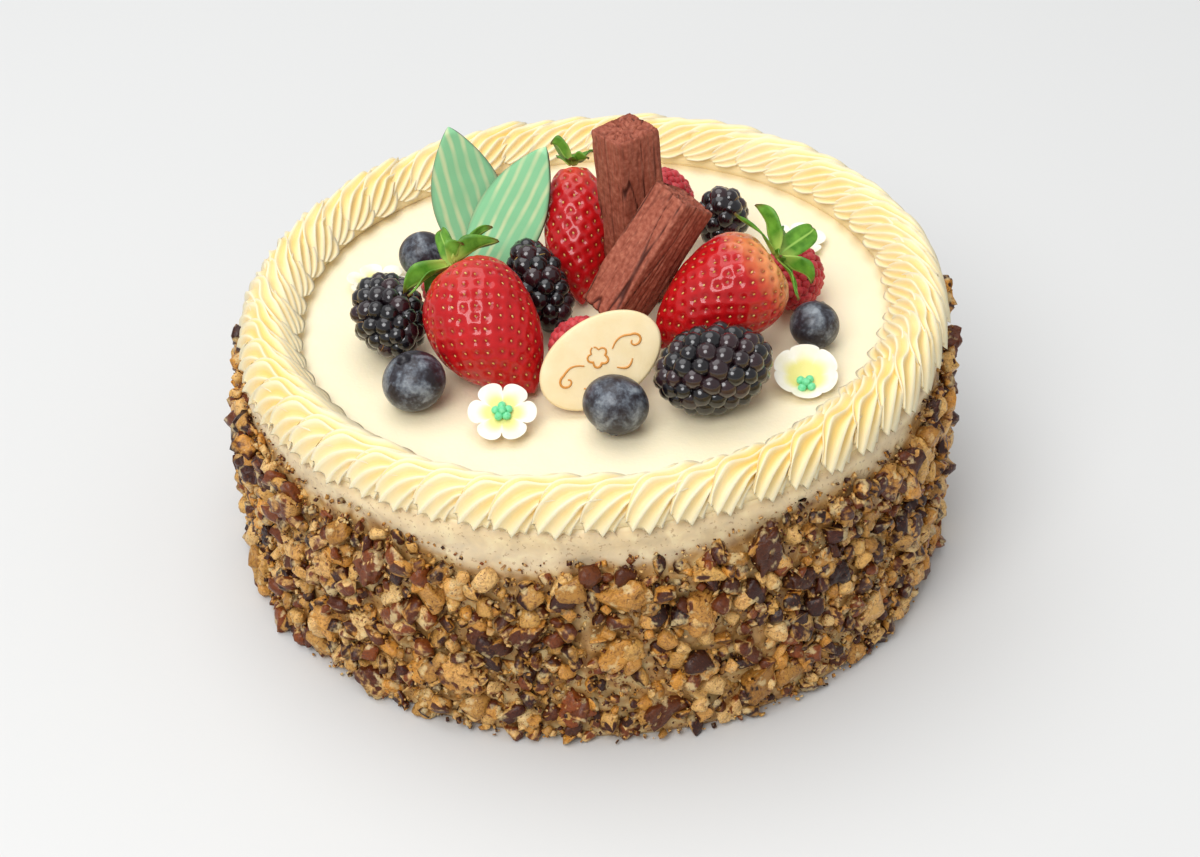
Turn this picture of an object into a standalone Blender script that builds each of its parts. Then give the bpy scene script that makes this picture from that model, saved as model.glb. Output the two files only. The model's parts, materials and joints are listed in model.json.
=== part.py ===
"""Carrot walnut cake: a round cake under cream frosting, with chopped walnuts round its side, a
piped rope border on its rim and berries, chocolate and sugar flowers on its top.

Metres, +Z up. The origin is the middle of the flat bottom, +X is the right of the front view and
+Y its back. The frosted top isn't level: it rises a little to the right.
"""

import math
import random

import bmesh
import bpy
from mathutils import Matrix, Vector

MM = 0.001

# Frosted cake
FROSTING_RADIUS = 103.5
ICING_HEIGHT = 74.0
ICING_SLOPE = 0.053
RIM_RADIUS = 96.5
RIM_DROP = 4.9
WALL_SEGMENTS = 72

# Chopped walnuts on the side
NUT_REACH = 112.2
NUT_COUNT = 138
NUT_LONGEST = 17.0
NUT_SHORTEST = 9.0
NUT_EMBEDDED = 0.35
NUT_CLEAR = 0.5
NUT_BAND_FRONT = 60.5
NUT_BAND_BACK = 66.5
NUT_CANDIDATES = 24

# Piped rope border, its section in mm from the axis and above the icing
ROPE_UNITS = 56
ROPE_FOOT = -5.2
ROPE_SECTION = (
    (104.9, 2.0),
    (102.6, 8.6),
    (97.0, 12.4),
    (91.0, 9.6),
    (87.4, 3.8),
    (88.2, 0.4),
    (96.9, 0.4),
    (104.8, ROPE_FOOT),
)
ROPE_SHIFT = (-11.5, -8.0, -4.2, -1.0, 0.0, 0.0, -6.0, -13.0)
ROPE_CENTRE = (96.5, 3.0)
ROPE_RELIEF = (-3.4, 0.5, -1.1, -0.2)
ROPE_RIDGE_PLACES = (0.0, 0.2, 0.46, 0.72)
OUTER_FOOT, INNER_FOOT, UNDERSIDE = 7, 5, 6

# Strawberries and their leaves
SHOULDER_ROUNDNESS = 2.4
CALYX_GAP = 0.2
CALYX_THICKNESS = 0.9
CALYX_NOTCH = 3.0
BLADE_BROADEST = 0.55

# Brambles, raspberries and blueberries
VALLEY = 0.84
CROWN_CRATER = 0.16

# Chocolate and sugar
STICK_SIDES = 16
STICK_LEVELS = 4
LEAF_THICKNESS = 2.0
LEAF_POINTEDNESS = 0.83
LEAF_BOW = 0.04
PLAQUE_HALVES = (18.6, 12.0)
PLAQUE_THICKNESS = 2.4
PLAQUE_LEAN = 58.0
PLAQUE_TURN = 32.0
PETALS = 6
PETAL_THICKNESS = 1.1
BUTTON_RADIUS = 2.6

SEED = 7


def icing_height(x):
    """Height in mm of the icing at x in mm."""
    return ICING_HEIGHT + ICING_SLOPE * x


def on_icing(x, y, lift):
    """The point in metres that is lift mm above the icing at x, y in mm."""
    return Vector((x, y, icing_height(x) + lift)) * MM


def make_material(name, colour, roughness):
    """A Principled material of one linear colour."""
    material = bpy.data.materials.new(name)
    material.use_nodes = True
    shader = material.node_tree.nodes["Principled BSDF"]
    shader.inputs["Base Color"].default_value = (*colour, 1.0)
    shader.inputs["Roughness"].default_value = roughness
    shader.inputs["Metallic"].default_value = 0.0
    return material


def add_object(name, mesh, material, collection):
    """A new object of the mesh with one material, in the collection."""
    mesh.materials.clear()
    mesh.materials.append(material)
    obj = bpy.data.objects.new(name, mesh)
    collection.objects.link(obj)
    return obj


def mesh_of(bm, name):
    """The bmesh as a mesh with outward faces, shaded smooth up to 50 degrees."""
    bmesh.ops.recalc_face_normals(bm, faces=bm.faces)
    mesh = bpy.data.meshes.new(name)
    bm.to_mesh(mesh)
    bm.free()
    mesh.shade_smooth()
    mesh.set_sharp_from_angle(angle=math.radians(50))
    return mesh


def applied(obj):
    """The object's mesh with its modifiers applied, in a new mesh."""
    graph = bpy.context.evaluated_depsgraph_get()
    return bpy.data.meshes.new_from_object(obj.evaluated_get(graph), depsgraph=graph)


def pose(start, end, roll=0.0):
    """A matrix at start whose +Z points to end, turned by roll degrees about that line."""
    direction = (end - start).normalized()
    turn = Vector((0, 0, 1)).rotation_difference(direction).to_matrix().to_4x4()
    return Matrix.Translation(start) @ turn @ Matrix.Rotation(math.radians(roll), 4, "Z")


def frosted_body(material, collection):
    """The frosting's outside as a turned profile, then sheared so that its top slopes."""
    wall_top = ICING_HEIGHT - RIM_DROP
    profile = (
        (0.0, ICING_HEIGHT),
        (RIM_RADIUS, ICING_HEIGHT),
        (FROSTING_RADIUS - 0.2, wall_top),
        (FROSTING_RADIUS + 0.3, wall_top - 24.0),
        (FROSTING_RADIUS + 0.9, 2.0),
        (FROSTING_RADIUS - 0.5, 0.0),
        (0.0, 0.0),
    )
    mesh = bpy.data.meshes.new("frosting_profile")
    points = [(radius * MM, 0.0, height * MM) for radius, height in profile]
    mesh.from_pydata(points, [(i, i + 1) for i in range(len(points) - 1)], [])
    turned = add_object("frosting_profile", mesh, material, collection)
    screw = turned.modifiers.new("turn", "SCREW")
    screw.steps = WALL_SEGMENTS
    screw.render_steps = WALL_SEGMENTS
    screw.use_merge_vertices = True
    screw.merge_threshold = 0.00001
    body = applied(turned)
    bpy.data.objects.remove(turned)
    for vertex in body.vertices:
        share = vertex.co.z / (ICING_HEIGHT * MM)
        vertex.co.z += ICING_SLOPE * vertex.co.x * share
    return body


def nut_band_top(angle):
    """Height in mm of the walnuts' upper edge, which is lowest at the front."""
    frontness = max(0.0, -math.sin(angle))
    wobble = 2.0 * math.sin(5.0 * angle + 0.6) + 1.4 * math.sin(11.0 * angle)
    band = NUT_BAND_BACK + (NUT_BAND_FRONT - NUT_BAND_BACK) * frontness
    return band + wobble + ICING_SLOPE * NUT_REACH * math.cos(angle)


def walnut_piece(name, length, draw):
    """A chopped piece and its half-thickness in mm: a block knocked out of square."""
    bm = bmesh.new()
    bmesh.ops.create_cube(bm, size=1.5)
    halves = Vector((length / 2, length * draw.uniform(0.32, 0.42), length * draw.uniform(0.28, 0.36)))
    for vertex in bm.verts:
        knock = [draw.uniform(0.6, 1.3) for _ in range(3)]
        vertex.co = Vector(a * b * c for a, b, c in zip(vertex.co, halves, knock)) * MM
    bmesh.ops.triangulate(bm, faces=bm.faces)
    return mesh_of(bm, name), halves.z


def walnut_places(draw):
    """(angle, height, length) of each piece, the longest first and each far from the others."""
    places = []
    for index in range(NUT_COUNT):
        share = index / (NUT_COUNT - 1)
        length = NUT_LONGEST + (NUT_SHORTEST - NUT_LONGEST) * share**0.8
        best = None
        for _ in range(NUT_CANDIDATES):
            angle = draw.uniform(-math.pi, math.pi)
            edge = 0.36 * length
            height = draw.uniform(edge, nut_band_top(angle) - edge)
            room = 999.0
            for other_angle, other_height, other_length in places:
                around = math.remainder(angle - other_angle, math.tau) * FROSTING_RADIUS
                apart = math.hypot(around, height - other_height)
                room = min(room, apart - 0.3 * (length + other_length))
            if best is None or room > best[0]:
                best = (room, angle, height)
        places.append((best[1], best[2], length))
    return places


def largest_shell(mesh):
    """Leaves only the biggest closed shell, so sealed hollows are filled and loose scraps go."""
    bm = bmesh.new()
    bm.from_mesh(mesh)
    waiting = set(bm.verts)
    shells = []
    while waiting:
        edge = [waiting.pop()]
        shell = set(edge)
        while edge:
            vertex = edge.pop()
            for link in vertex.link_edges:
                other = link.other_vert(vertex)
                if other in waiting:
                    waiting.discard(other)
                    shell.add(other)
                    edge.append(other)
        shells.append(shell)
    keep = max(shells, key=len)
    bmesh.ops.delete(bm, geom=[v for v in bm.verts if v not in keep], context="VERTS")
    bm.to_mesh(mesh)
    bm.free()


def fuse(obj, pieces, solver):
    """Joins the object with a collection's pieces in one union, then removes the collection."""
    union = obj.modifiers.new("union", "BOOLEAN")
    union.operation = "UNION"
    union.operand_type = "COLLECTION"
    union.collection = pieces
    union.solver = solver
    joined = applied(obj)
    largest_shell(joined)
    obj.modifiers.remove(union)
    obj.data = joined
    obj.data.name = obj.name
    for piece in list(pieces.objects):
        bpy.data.objects.remove(piece)
    bpy.data.collections.remove(pieces)


def make_cake(material, collection):
    """The frosted cake with the walnuts fused to its side."""
    draw = random.Random(SEED)
    cake = add_object("cake", frosted_body(material, collection), material, collection)
    nuts = bpy.data.collections.new("walnut_pieces")
    bpy.context.scene.collection.children.link(nuts)
    for index, (angle, height, length) in enumerate(walnut_places(draw)):
        mesh, thickness = walnut_piece("walnut", length, draw)
        piece = add_object(f"walnut_{index:03d}", mesh, material, nuts)
        depth = FROSTING_RADIUS + (1 - 2 * NUT_EMBEDDED) * thickness
        spin = Matrix.Rotation(draw.uniform(0.0, math.tau), 4, "Z")
        lean = Matrix.Rotation(draw.uniform(-0.2, 0.2), 4, "X")
        facing = Matrix.Rotation(angle, 4, "Z") @ Matrix.Rotation(math.pi / 2, 4, "Y")
        place = Vector((depth * math.cos(angle), depth * math.sin(angle), height)) * MM
        mesh.transform(Matrix.Translation(place) @ facing @ lean @ spin)
        for vertex in mesh.vertices:
            reach = math.hypot(vertex.co.x, vertex.co.y) / MM
            shrink = min(1.0, NUT_REACH / reach)
            under_rope = (icing_height(vertex.co.x / MM) + ROPE_FOOT - NUT_CLEAR) * MM
            height = min(max(vertex.co.z, NUT_CLEAR * MM), under_rope)
            vertex.co = Vector((vertex.co.x * shrink, vertex.co.y * shrink, height))
    fuse(cake, nuts, "MANIFOLD")


def rope_point(column, row):
    """One point of the border: its section, sheared round the ring and raised into ridges."""
    unit, ridge = divmod(column, len(ROPE_RELIEF))
    draw = random.Random(SEED * 1000 + unit)
    swell = draw.uniform(0.88, 1.12)
    nudge = draw.uniform(-0.05, 0.05)
    turn = math.tau * (unit + ROPE_RIDGE_PLACES[ridge] + nudge) / ROPE_UNITS
    radius, lift = ROPE_SECTION[row]
    relief = ROPE_RELIEF[ridge] * swell
    out = Vector((radius - ROPE_CENTRE[0], lift - ROPE_CENTRE[1])).normalized()
    if row == OUTER_FOOT:
        lift -= 0.7 * min(relief, 0.0)
    elif row == INNER_FOOT:
        radius -= 0.5 * relief
    elif row != UNDERSIDE:
        radius += out.x * relief
        lift += out.y * relief
    angle = turn + ROPE_SHIFT[row] / ROPE_CENTRE[0]
    x = radius * math.cos(angle)
    y = radius * math.sin(angle)
    return Vector((x, y, icing_height(x) + lift)) * MM


def make_border(material, collection):
    """The rope border: a torus whose points are moved onto the piped form."""
    columns = ROPE_UNITS * len(ROPE_RELIEF)
    rows = len(ROPE_SECTION)
    bpy.ops.mesh.primitive_torus_add(
        major_segments=columns, minor_segments=rows, major_radius=0.0965, minor_radius=0.009
    )
    ring = bpy.context.object
    mesh = ring.data
    for vertex in mesh.vertices:
        column, row = divmod(vertex.index, rows)
        vertex.co = rope_point(column, row)
    border = add_object("piped_border", mesh, material, collection)
    bpy.data.objects.remove(ring)
    mesh.shade_smooth()


def strawberry_mesh(name, length, width, shoulder, bow):
    """A strawberry from its tip at the origin to its crown up +Z, a cone with a round shoulder. It is
    broadest at shoulder, a share of its length from the tip, and its middle is moved by bow."""
    bm = bmesh.new()
    bmesh.ops.create_uvsphere(bm, u_segments=14, v_segments=10, radius=1.0)
    for vertex in bm.verts:
        share = (vertex.co.z + 1) / 2
        around = math.atan2(vertex.co.y, vertex.co.x)
        if share < 0.01 or share > 0.99:
            fullness = 0.0
        elif share < shoulder:
            fullness = math.sin(math.pi / 2 * (share / shoulder) ** 0.8)
        else:
            fullness = math.sqrt(1 - ((share - shoulder) / (1.02 - shoulder)) ** SHOULDER_ROUNDNESS)
        radius = width / 2 * fullness * (1 + 0.03 * math.sin(2 * around + 1.0))
        dent = -0.05 * length if share > 0.99 else 0.0
        height = share * length + dent
        vertex.co = Vector((radius * math.cos(around), radius * math.sin(around), height)) * MM
        vertex.co += bow * math.sin(math.pi * share)
    return mesh_of(bm, name)


def calyx_mesh(name, blades):
    """Leaves round a strawberry's crown. A blade is (direction, length, width, rise, twist), in
    degrees and mm: a flat star is bent so that each tip is rise above the crown and one side of
    each blade is twist above the other, then it is raised to a solid."""
    bm = bmesh.new()
    count = len(blades)
    bmesh.ops.create_circle(bm, cap_ends=True, cap_tris=True, segments=4 * count, radius=1.0)
    rim = sorted((v for v in bm.verts if v.co.length > 0.5), key=lambda v: math.atan2(v.co.y, v.co.x))
    ordered = sorted(blades)
    for index, vertex in enumerate(rim):
        blade, part = divmod(index, 4)
        direction, length, width, rise, twist = ordered[blade]
        following = ordered[(blade + 1) % count][0] + (360 if blade == count - 1 else 0)
        before = ordered[blade - 1][0] - (360 if blade == 0 else 0)
        middle = BLADE_BROADEST * length
        side = math.degrees(math.atan2(width / 2, middle))
        left = min(side, 0.42 * (direction - before))
        right = min(side, 0.42 * (following - direction))
        bearing = (direction - left, direction, direction + right, (direction + following) / 2)[part]
        reach = (middle, length, middle, CALYX_NOTCH)[part]
        bend = 0.42 * max(rise, 0.0)
        height = (bend + 0.4 + max(-twist, 0.0), rise, bend + 1.0 + max(twist, 0.0), 0.3)[part]
        turn = math.radians(bearing)
        vertex.co = Vector((reach * math.cos(turn), reach * math.sin(turn), height)) * MM
    made = bmesh.ops.extrude_face_region(bm, geom=bm.faces[:], use_keep_orig=True)
    raised = [part for part in made["geom"] if isinstance(part, bmesh.types.BMVert)]
    bmesh.ops.translate(bm, verts=raised, vec=(0.0, 0.0, CALYX_THICKNESS * MM))
    return mesh_of(bm, name)


def thickened(name, mesh, thickness, material, collection):
    """An object with the sheet given a thickness to both sides, applied."""
    obj = add_object(name, mesh, material, collection)
    solidify = obj.modifiers.new("thickness", "SOLIDIFY")
    solidify.thickness = thickness * MM
    solidify.offset = 0.0
    obj.data = applied(obj)
    obj.modifiers.remove(solidify)
    obj.data.name = name
    return obj


def bumpy_berry_mesh(name, drupelets, halves):
    """A berry of rounded drupelets. Points spread over a ball are its drupelets' tops, the middles
    of the triangles between them are the valleys, and each drupelet is a fan from its top."""
    tops = []
    for index in range(drupelets):
        z = 1 - (2 * index + 1) / drupelets
        ring = math.sqrt(1 - z * z)
        turn = index * math.pi * (3 - math.sqrt(5))
        tops.append(Vector((ring * math.cos(turn), ring * math.sin(turn), z)))
    hull = bmesh.new()
    for top in tops:
        hull.verts.new(top)
    bmesh.ops.convex_hull(hull, input=hull.verts)
    bmesh.ops.triangulate(hull, faces=hull.faces)
    bm = bmesh.new()
    middles = {face: bm.verts.new(face.calc_center_median().normalized() * VALLEY) for face in hull.faces}
    for vertex in hull.verts:
        axis = vertex.co.normalized()
        across = axis.orthogonal().normalized()
        aside = axis.cross(across)
        faces = sorted(
            vertex.link_faces,
            key=lambda face: math.atan2(
                face.calc_center_median().dot(aside), face.calc_center_median().dot(across)
            ),
        )
        ring = [middles[face] for face in faces]
        peak = bm.verts.new(axis)
        for first, second in zip(ring, ring[1:] + ring[:1]):
            bm.faces.new((peak, first, second))
    hull.free()
    for vertex in bm.verts:
        vertex.co = Vector((a * b for a, b in zip(vertex.co, halves))) * MM
    return mesh_of(bm, name)


def blueberry_mesh(name, radius, height):
    """A blueberry with the shallow crater of its crown up +Z."""
    bm = bmesh.new()
    bmesh.ops.create_uvsphere(bm, u_segments=12, v_segments=9, radius=1.0)
    for vertex in bm.verts:
        z = vertex.co.z
        crater = CROWN_CRATER if z > 0.99 else 0.0
        vertex.co = Vector((vertex.co.x * radius, vertex.co.y * radius, (z - crater) * height)) * MM
    return mesh_of(bm, name)


def chocolate_stick_mesh(name, length, width, depth, ridges_seed):
    """A crinkled stick up +Z: a rounded square bar with lengthwise folds and broken ends."""
    draw = random.Random(ridges_seed)
    bm = bmesh.new()
    rings = bmesh.ops.create_circle(bm, cap_ends=True, segments=STICK_SIDES, radius=1.0)["verts"]
    folds = [draw.uniform(-0.7, 0.7) for _ in range(STICK_SIDES)]
    for vertex in rings:
        turn = math.atan2(vertex.co.y, vertex.co.x)
        index = round(turn / math.tau * STICK_SIDES) % STICK_SIDES
        square = 1 / max(abs(math.cos(turn)), abs(math.sin(turn))) ** 0.75
        grow = 1 + folds[index] / width
        vertex.co = Vector(
            (math.cos(turn) * square * grow * width / 2, math.sin(turn) * square * grow * depth / 2, 0)
        ) * MM
    end = bm.faces[:]
    for level in range(STICK_LEVELS):
        made = bmesh.ops.extrude_face_region(bm, geom=end)
        if level:
            bmesh.ops.delete(bm, geom=end, context="FACES_ONLY")
        moved = [g for g in made["geom"] if isinstance(g, bmesh.types.BMVert)]
        end = [g for g in made["geom"] if isinstance(g, bmesh.types.BMFace)]
        bmesh.ops.translate(bm, verts=moved, vec=(0, 0, length / STICK_LEVELS * MM))
        for vertex in moved:
            vertex.co.x += draw.uniform(-0.35, 0.35) * MM
            vertex.co.y += draw.uniform(-0.35, 0.35) * MM
            if level == STICK_LEVELS - 1:
                vertex.co.z += draw.uniform(-1.3, 1.0) * MM
    bmesh.ops.triangulate(bm, faces=bm.faces)
    return mesh_of(bm, name)


def chocolate_leaf_mesh(name, length, width):
    """A pointed oval sheet standing up +Z from its lower point, gently bowed."""
    bm = bmesh.new()
    bmesh.ops.create_circle(bm, cap_ends=True, cap_tris=True, segments=18, radius=1.0)
    for vertex in bm.verts:
        along = (vertex.co.y + 1) / 2
        side = vertex.co.x
        pointed = math.sin(math.pi * along) ** LEAF_POINTEDNESS if 0.0 < along < 1.0 else 0.0
        half = width / 2 * pointed
        across = half * (0.0 if abs(side) < 1e-6 else math.copysign(1.0, side))
        bow = LEAF_BOW * length * math.sin(math.pi * along)
        vertex.co = Vector((across, bow, along * length)) * MM
    return mesh_of(bm, name)


def sugar_flower_mesh(name, petals, radius, cup, roundness):
    """An open flower as a thin sheet: pointed or rounded petals whose tips rise by cup mm."""
    bm = bmesh.new()
    bmesh.ops.create_circle(bm, cap_ends=True, cap_tris=True, segments=4 * petals, radius=1.0)
    for vertex in bm.verts:
        if vertex.co.length < 0.5:
            vertex.co = Vector((0, 0, 0))
            continue
        turn = math.atan2(vertex.co.y, vertex.co.x)
        part = round(turn / math.tau * 4 * petals) % 4
        reach = radius * (1.0, roundness, 0.52, roundness)[part]
        rise = cup * (reach / radius) ** 2
        vertex.co = Vector((reach * math.cos(turn), reach * math.sin(turn), rise)) * MM
    return mesh_of(bm, name)


def place_strawberries(collection):
    """The three strawberries, each with its leaves. A row is the tip, the crown, the width, the share
    of the length where it is broadest and how far its middle is moved, in mm."""
    red = make_material("strawberry_flesh", (0.55, 0.012, 0.016), 0.3)
    green = make_material("strawberry_leaf", (0.09, 0.25, 0.02), 0.5)
    berries = {
        "left": (on_icing(-16.0, -43.4, 2.8), on_icing(-39.4, -17.8, 29.6), 30.6, 0.6, (-1.4, -0.6, -0.8)),
        "back": (on_icing(-2.9, 2.7, 1.6), on_icing(-5.8, 30.0, 32.8), 19.2, 0.52, (0.0, 0.0, 0.0)),
        "right": (on_icing(17.6, -29.6, 7.8), on_icing(52.0, -16.8, 27.2), 29.6, 0.7, (0.0, 0.0, 0.0)),
    }
    blades = {
        "left": ((348, 6.5, 5, 3, -3), (12, 15, 5, -1.2, -3.5), (32, 17, 3, 4.5, -2), (62, 5, 5.5, 11, 0),
                 (110, 10, 5, 3, 0), (150, 14, 4.5, -1.5, 2), (190, 16, 6, 1, 3.5), (218, 17, 3, -2.2, 0)),
        "back": ((30, 8, 4, 4.5, 0), (80, 6, 4, 4, 0), (125, 8, 4, 4, 0), (205, 6.5, 4.5, 6.5, 2.5),
                 (262, 5, 3, 1, 0), (325, 6, 3.5, 1, -1.5)),
        "right": ((20, 9, 4, 1, 0), (75, 5.5, 6.5, 13.5, 0), (118, 8, 5, 6, 1.5), (162, 15.5, 6, 4, 3.5),
                  (188, 19, 3.5, -2.6, 0), (255, 6, 3.5, 1, 0), (308, 16, 2.5, -2, 0), (338, 12, 5, 4, -3.5)),
    }
    for side, (tip, crown, width, shoulder, bow) in berries.items():
        name = f"strawberry_{side}"
        standing = pose(tip, crown)
        local_bow = standing.to_3x3().inverted() @ (Vector(bow) * MM)
        mesh = strawberry_mesh(name, (crown - tip).length / MM, width, shoulder, local_bow)
        add_object(name, mesh, red, collection).matrix_world = standing
        leaves = add_object(f"{name}_leaves", calyx_mesh(name, blades[side]), green, collection)
        leaves.matrix_world = pose(crown, crown * 2 - tip) @ Matrix.Translation((0, 0, CALYX_GAP * MM))


def place_bumpy_berries(collection):
    """The brambles and raspberries. A row is the crown, the tip, the radius and the drupelets."""
    black = make_material("bramble_skin", (0.008, 0.005, 0.01), 0.2)
    pink = make_material("raspberry_skin", (0.42, 0.03, 0.05), 0.6)
    berries = {
        "bramble_left": (on_icing(-64.0, 0.5, 12.8), on_icing(-53.4, -30.4, 11.8), 11.4, 64),
        "bramble_middle": (on_icing(-21.0, 2.0, 26.0), on_icing(-9.0, -14.0, 2.8), 8.8, 60),
        "bramble_back": (on_icing(39.5, 31.0, 22.6), on_icing(39.0, 33.0, 0.6), 8.8, 50),
        "bramble_front": (on_icing(50.4, -44.6, 13.6), on_icing(17.8, -56.4, 13.6), 13.1, 72),
        "raspberry_left": (on_icing(-42.0, 3.0, 18.4), on_icing(-42.0, 3.0, 0.5), 8.8, 46),
        "raspberry_front": (on_icing(-12.6, -31.1, 9.6), on_icing(9.4, -31.1, 9.2), 9.0, 50),
        "raspberry_back": (on_icing(21.0, 42.0, 23.0), on_icing(21.0, 42.0, 0.5), 10.5, 50),
        "raspberry_right": (on_icing(60.0, 12.6, 9.6), on_icing(58.6, -11.4, 9.6), 9.2, 46),
    }
    for name, (crown, tip, radius, drupelets) in berries.items():
        half = (crown - tip).length / 2 / MM
        mesh = bumpy_berry_mesh(name, drupelets, (radius, radius, half))
        skin = black if name.startswith("bramble") else pink
        berry = add_object(name, mesh, skin, collection)
        berry.matrix_world = pose(crown, tip) @ Matrix.Translation((0, 0, half * MM))


def place_blueberries(collection):
    """The four blueberries. A row is the middle, the way the crown faces, the radius and the
    half-height along that way."""
    blue = make_material("blueberry_bloom", (0.06, 0.075, 0.13), 0.5)
    berries = {
        "blueberry_back": (on_icing(-51.5, 24.5, 7.6), (0.3, -0.5, -0.4), 7.3, 7.0),
        "blueberry_left": (on_icing(-49.8, -43.8, 8.8), (-0.32, -0.04, 0.95), 9.1, 8.2),
        "blueberry_front": (on_icing(6.9, -59.6, 9.2), (-0.3, -0.5, -0.8), 9.3, 8.2),
        "blueberry_right": (on_icing(64.0, -22.3, 7.4), (0.2, 0.7, 0.4), 7.2, 6.9),
    }
    for name, (middle, crown_way, radius, height) in berries.items():
        berry = add_object(name, blueberry_mesh(name, radius, height), blue, collection)
        berry.matrix_world = pose(middle, middle + Vector(crown_way))


def place_chocolate(collection):
    """The two crinkled sticks and the two striped leaves. A row is the foot, the top, the width,
    for a stick the depth, and the roll in degrees about the line from foot to top."""
    milk = make_material("milk_chocolate", (0.2, 0.07, 0.04), 0.6)
    mint = make_material("mint_white_chocolate", (0.28, 0.62, 0.42), 0.45)
    sticks = {
        "chocolate_stick_upright": (on_icing(14.7, 7.6, 0.8), on_icing(9.4, 8.6, 57.0), 14.6, 13.8, 37.0),
        "chocolate_stick_leaning": (on_icing(5.4, -18.8, 12.0), on_icing(26.3, -8.0, 43.6), 14.4, 14.4, 40.0),
    }
    for folds, (name, (foot, top, width, depth, roll)) in enumerate(sticks.items()):
        length = (top - foot).length / MM
        stick = add_object(name, chocolate_stick_mesh(name, length, width, depth, folds), milk, collection)
        stick.matrix_world = pose(foot, top, roll)
    leaves = {
        "chocolate_leaf_left": (on_icing(-30.6, 17.2, 1.0), on_icing(-42.5, 29.3, 48.7), 22.0, 6.7),
        "chocolate_leaf_right": (on_icing(-38.5, 9.2, 1.0), on_icing(-13.5, 22.0, 44.7), 22.0, -26.7),
    }
    for name, (foot, top, width, roll) in leaves.items():
        mesh = chocolate_leaf_mesh(name, (top - foot).length / MM, width)
        leaf = thickened(name, mesh, LEAF_THICKNESS, mint, collection)
        leaf.matrix_world = pose(foot, top, roll)


def place_plaque(collection):
    """The oval of white chocolate that leans at the front."""
    ivory = make_material("white_chocolate", (0.85, 0.75, 0.5), 0.4)
    bm = bmesh.new()
    bmesh.ops.create_cone(
        bm, cap_ends=True, segments=24, radius1=MM, radius2=MM, depth=PLAQUE_THICKNESS * MM
    )
    bmesh.ops.scale(bm, verts=bm.verts, vec=(*PLAQUE_HALVES, 1.0))
    plaque = add_object("plaque", mesh_of(bm, "plaque"), ivory, collection)
    lean = Matrix.Rotation(math.radians(PLAQUE_LEAN), 4, "X")
    turn = Matrix.Rotation(math.radians(PLAQUE_TURN), 4, "Z")
    plaque.matrix_world = Matrix.Translation(on_icing(2.6, -44.4, 13.6)) @ lean @ turn


def place_flowers(collection):
    """The four sugar flowers, each with its cluster of sugar beads fused to its middle. A row is the
    place, the radius, the cup, the roundness of the petals, the lift of the back and the turn."""
    sugar = make_material("sugar_paste", (0.86, 0.86, 0.82), 0.5)
    flowers = {
        "sugar_flower_front_left": ((-24.5, -56.7, 5.4), 9.6, 1.6, 0.88, 24.0, 0.0),
        "sugar_flower_front_right": ((60.4, -40.4, 1.8), 9.3, 3.8, 0.97, 20.0, 30.0),
        "sugar_flower_back_left": ((-65.2, 18.5, 0.9), 9.3, 2.6, 0.88, 0.0, 50.0),
        "sugar_flower_back_right": ((62.0, 31.5, 0.9), 9.3, 2.6, 0.9, 0.0, 10.0),
    }
    for name, (place, radius, cup, roundness, tip_up, roll) in flowers.items():
        sheet = sugar_flower_mesh(name, PETALS, radius, cup, roundness)
        flower = thickened(name, sheet, PETAL_THICKNESS, sugar, collection)
        button = bpy.data.collections.new(f"{name}_button")
        bpy.context.scene.collection.children.link(button)
        bm = bmesh.new()
        bmesh.ops.create_icosphere(bm, subdivisions=1, radius=BUTTON_RADIUS * MM)
        bmesh.ops.scale(bm, verts=bm.verts, vec=(1.0, 1.0, 0.7))
        bmesh.ops.translate(bm, verts=bm.verts, vec=(0.0, 0.0, 1.4 * MM))
        add_object(f"{name}_middle", mesh_of(bm, "middle"), sugar, button)
        fuse(flower, button, "EXACT")
        turn = Matrix.Rotation(math.radians(tip_up), 4, "X") @ Matrix.Rotation(math.radians(roll), 4, "Z")
        flower.matrix_world = Matrix.Translation(on_icing(*place)) @ turn


def main():
    """Clears the scene and builds every piece of the cake."""
    for obj in list(bpy.data.objects):
        bpy.data.objects.remove(obj)
    collection = bpy.data.collections.new("carrot_walnut_cake")
    bpy.context.scene.collection.children.link(collection)
    cream = make_material("cream_cheese_frosting", (0.93, 0.82, 0.55), 0.45)
    make_cake(cream, collection)
    make_border(cream, collection)
    place_strawberries(collection)
    place_bumpy_berries(collection)
    place_blueberries(collection)
    place_chocolate(collection)
    place_plaque(collection)
    place_flowers(collection)


main()
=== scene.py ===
"""Looks of the carrot walnut cake: frosting, walnuts, rope border, berries, chocolate and flowers.

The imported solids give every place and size. Sizes below are in millimetres unless a name says
otherwise, with +Z up, +X to the right of the decorated front and +Y towards its back.
"""

import json
import logging
import random
from collections.abc import Callable, Sequence
from dataclasses import dataclass, field
from enum import Enum
from math import atan2, copysign, cos, exp, hypot, inf, pi, radians, remainder, sin, sqrt, tau

import bmesh
import bpy
import numpy as np
from bpy.types import ID, Material, Mesh, Node, NodeSocket, NodeTree, Object
from mathutils import Matrix, Vector, noise
from mathutils.kdtree import KDTree

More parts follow.
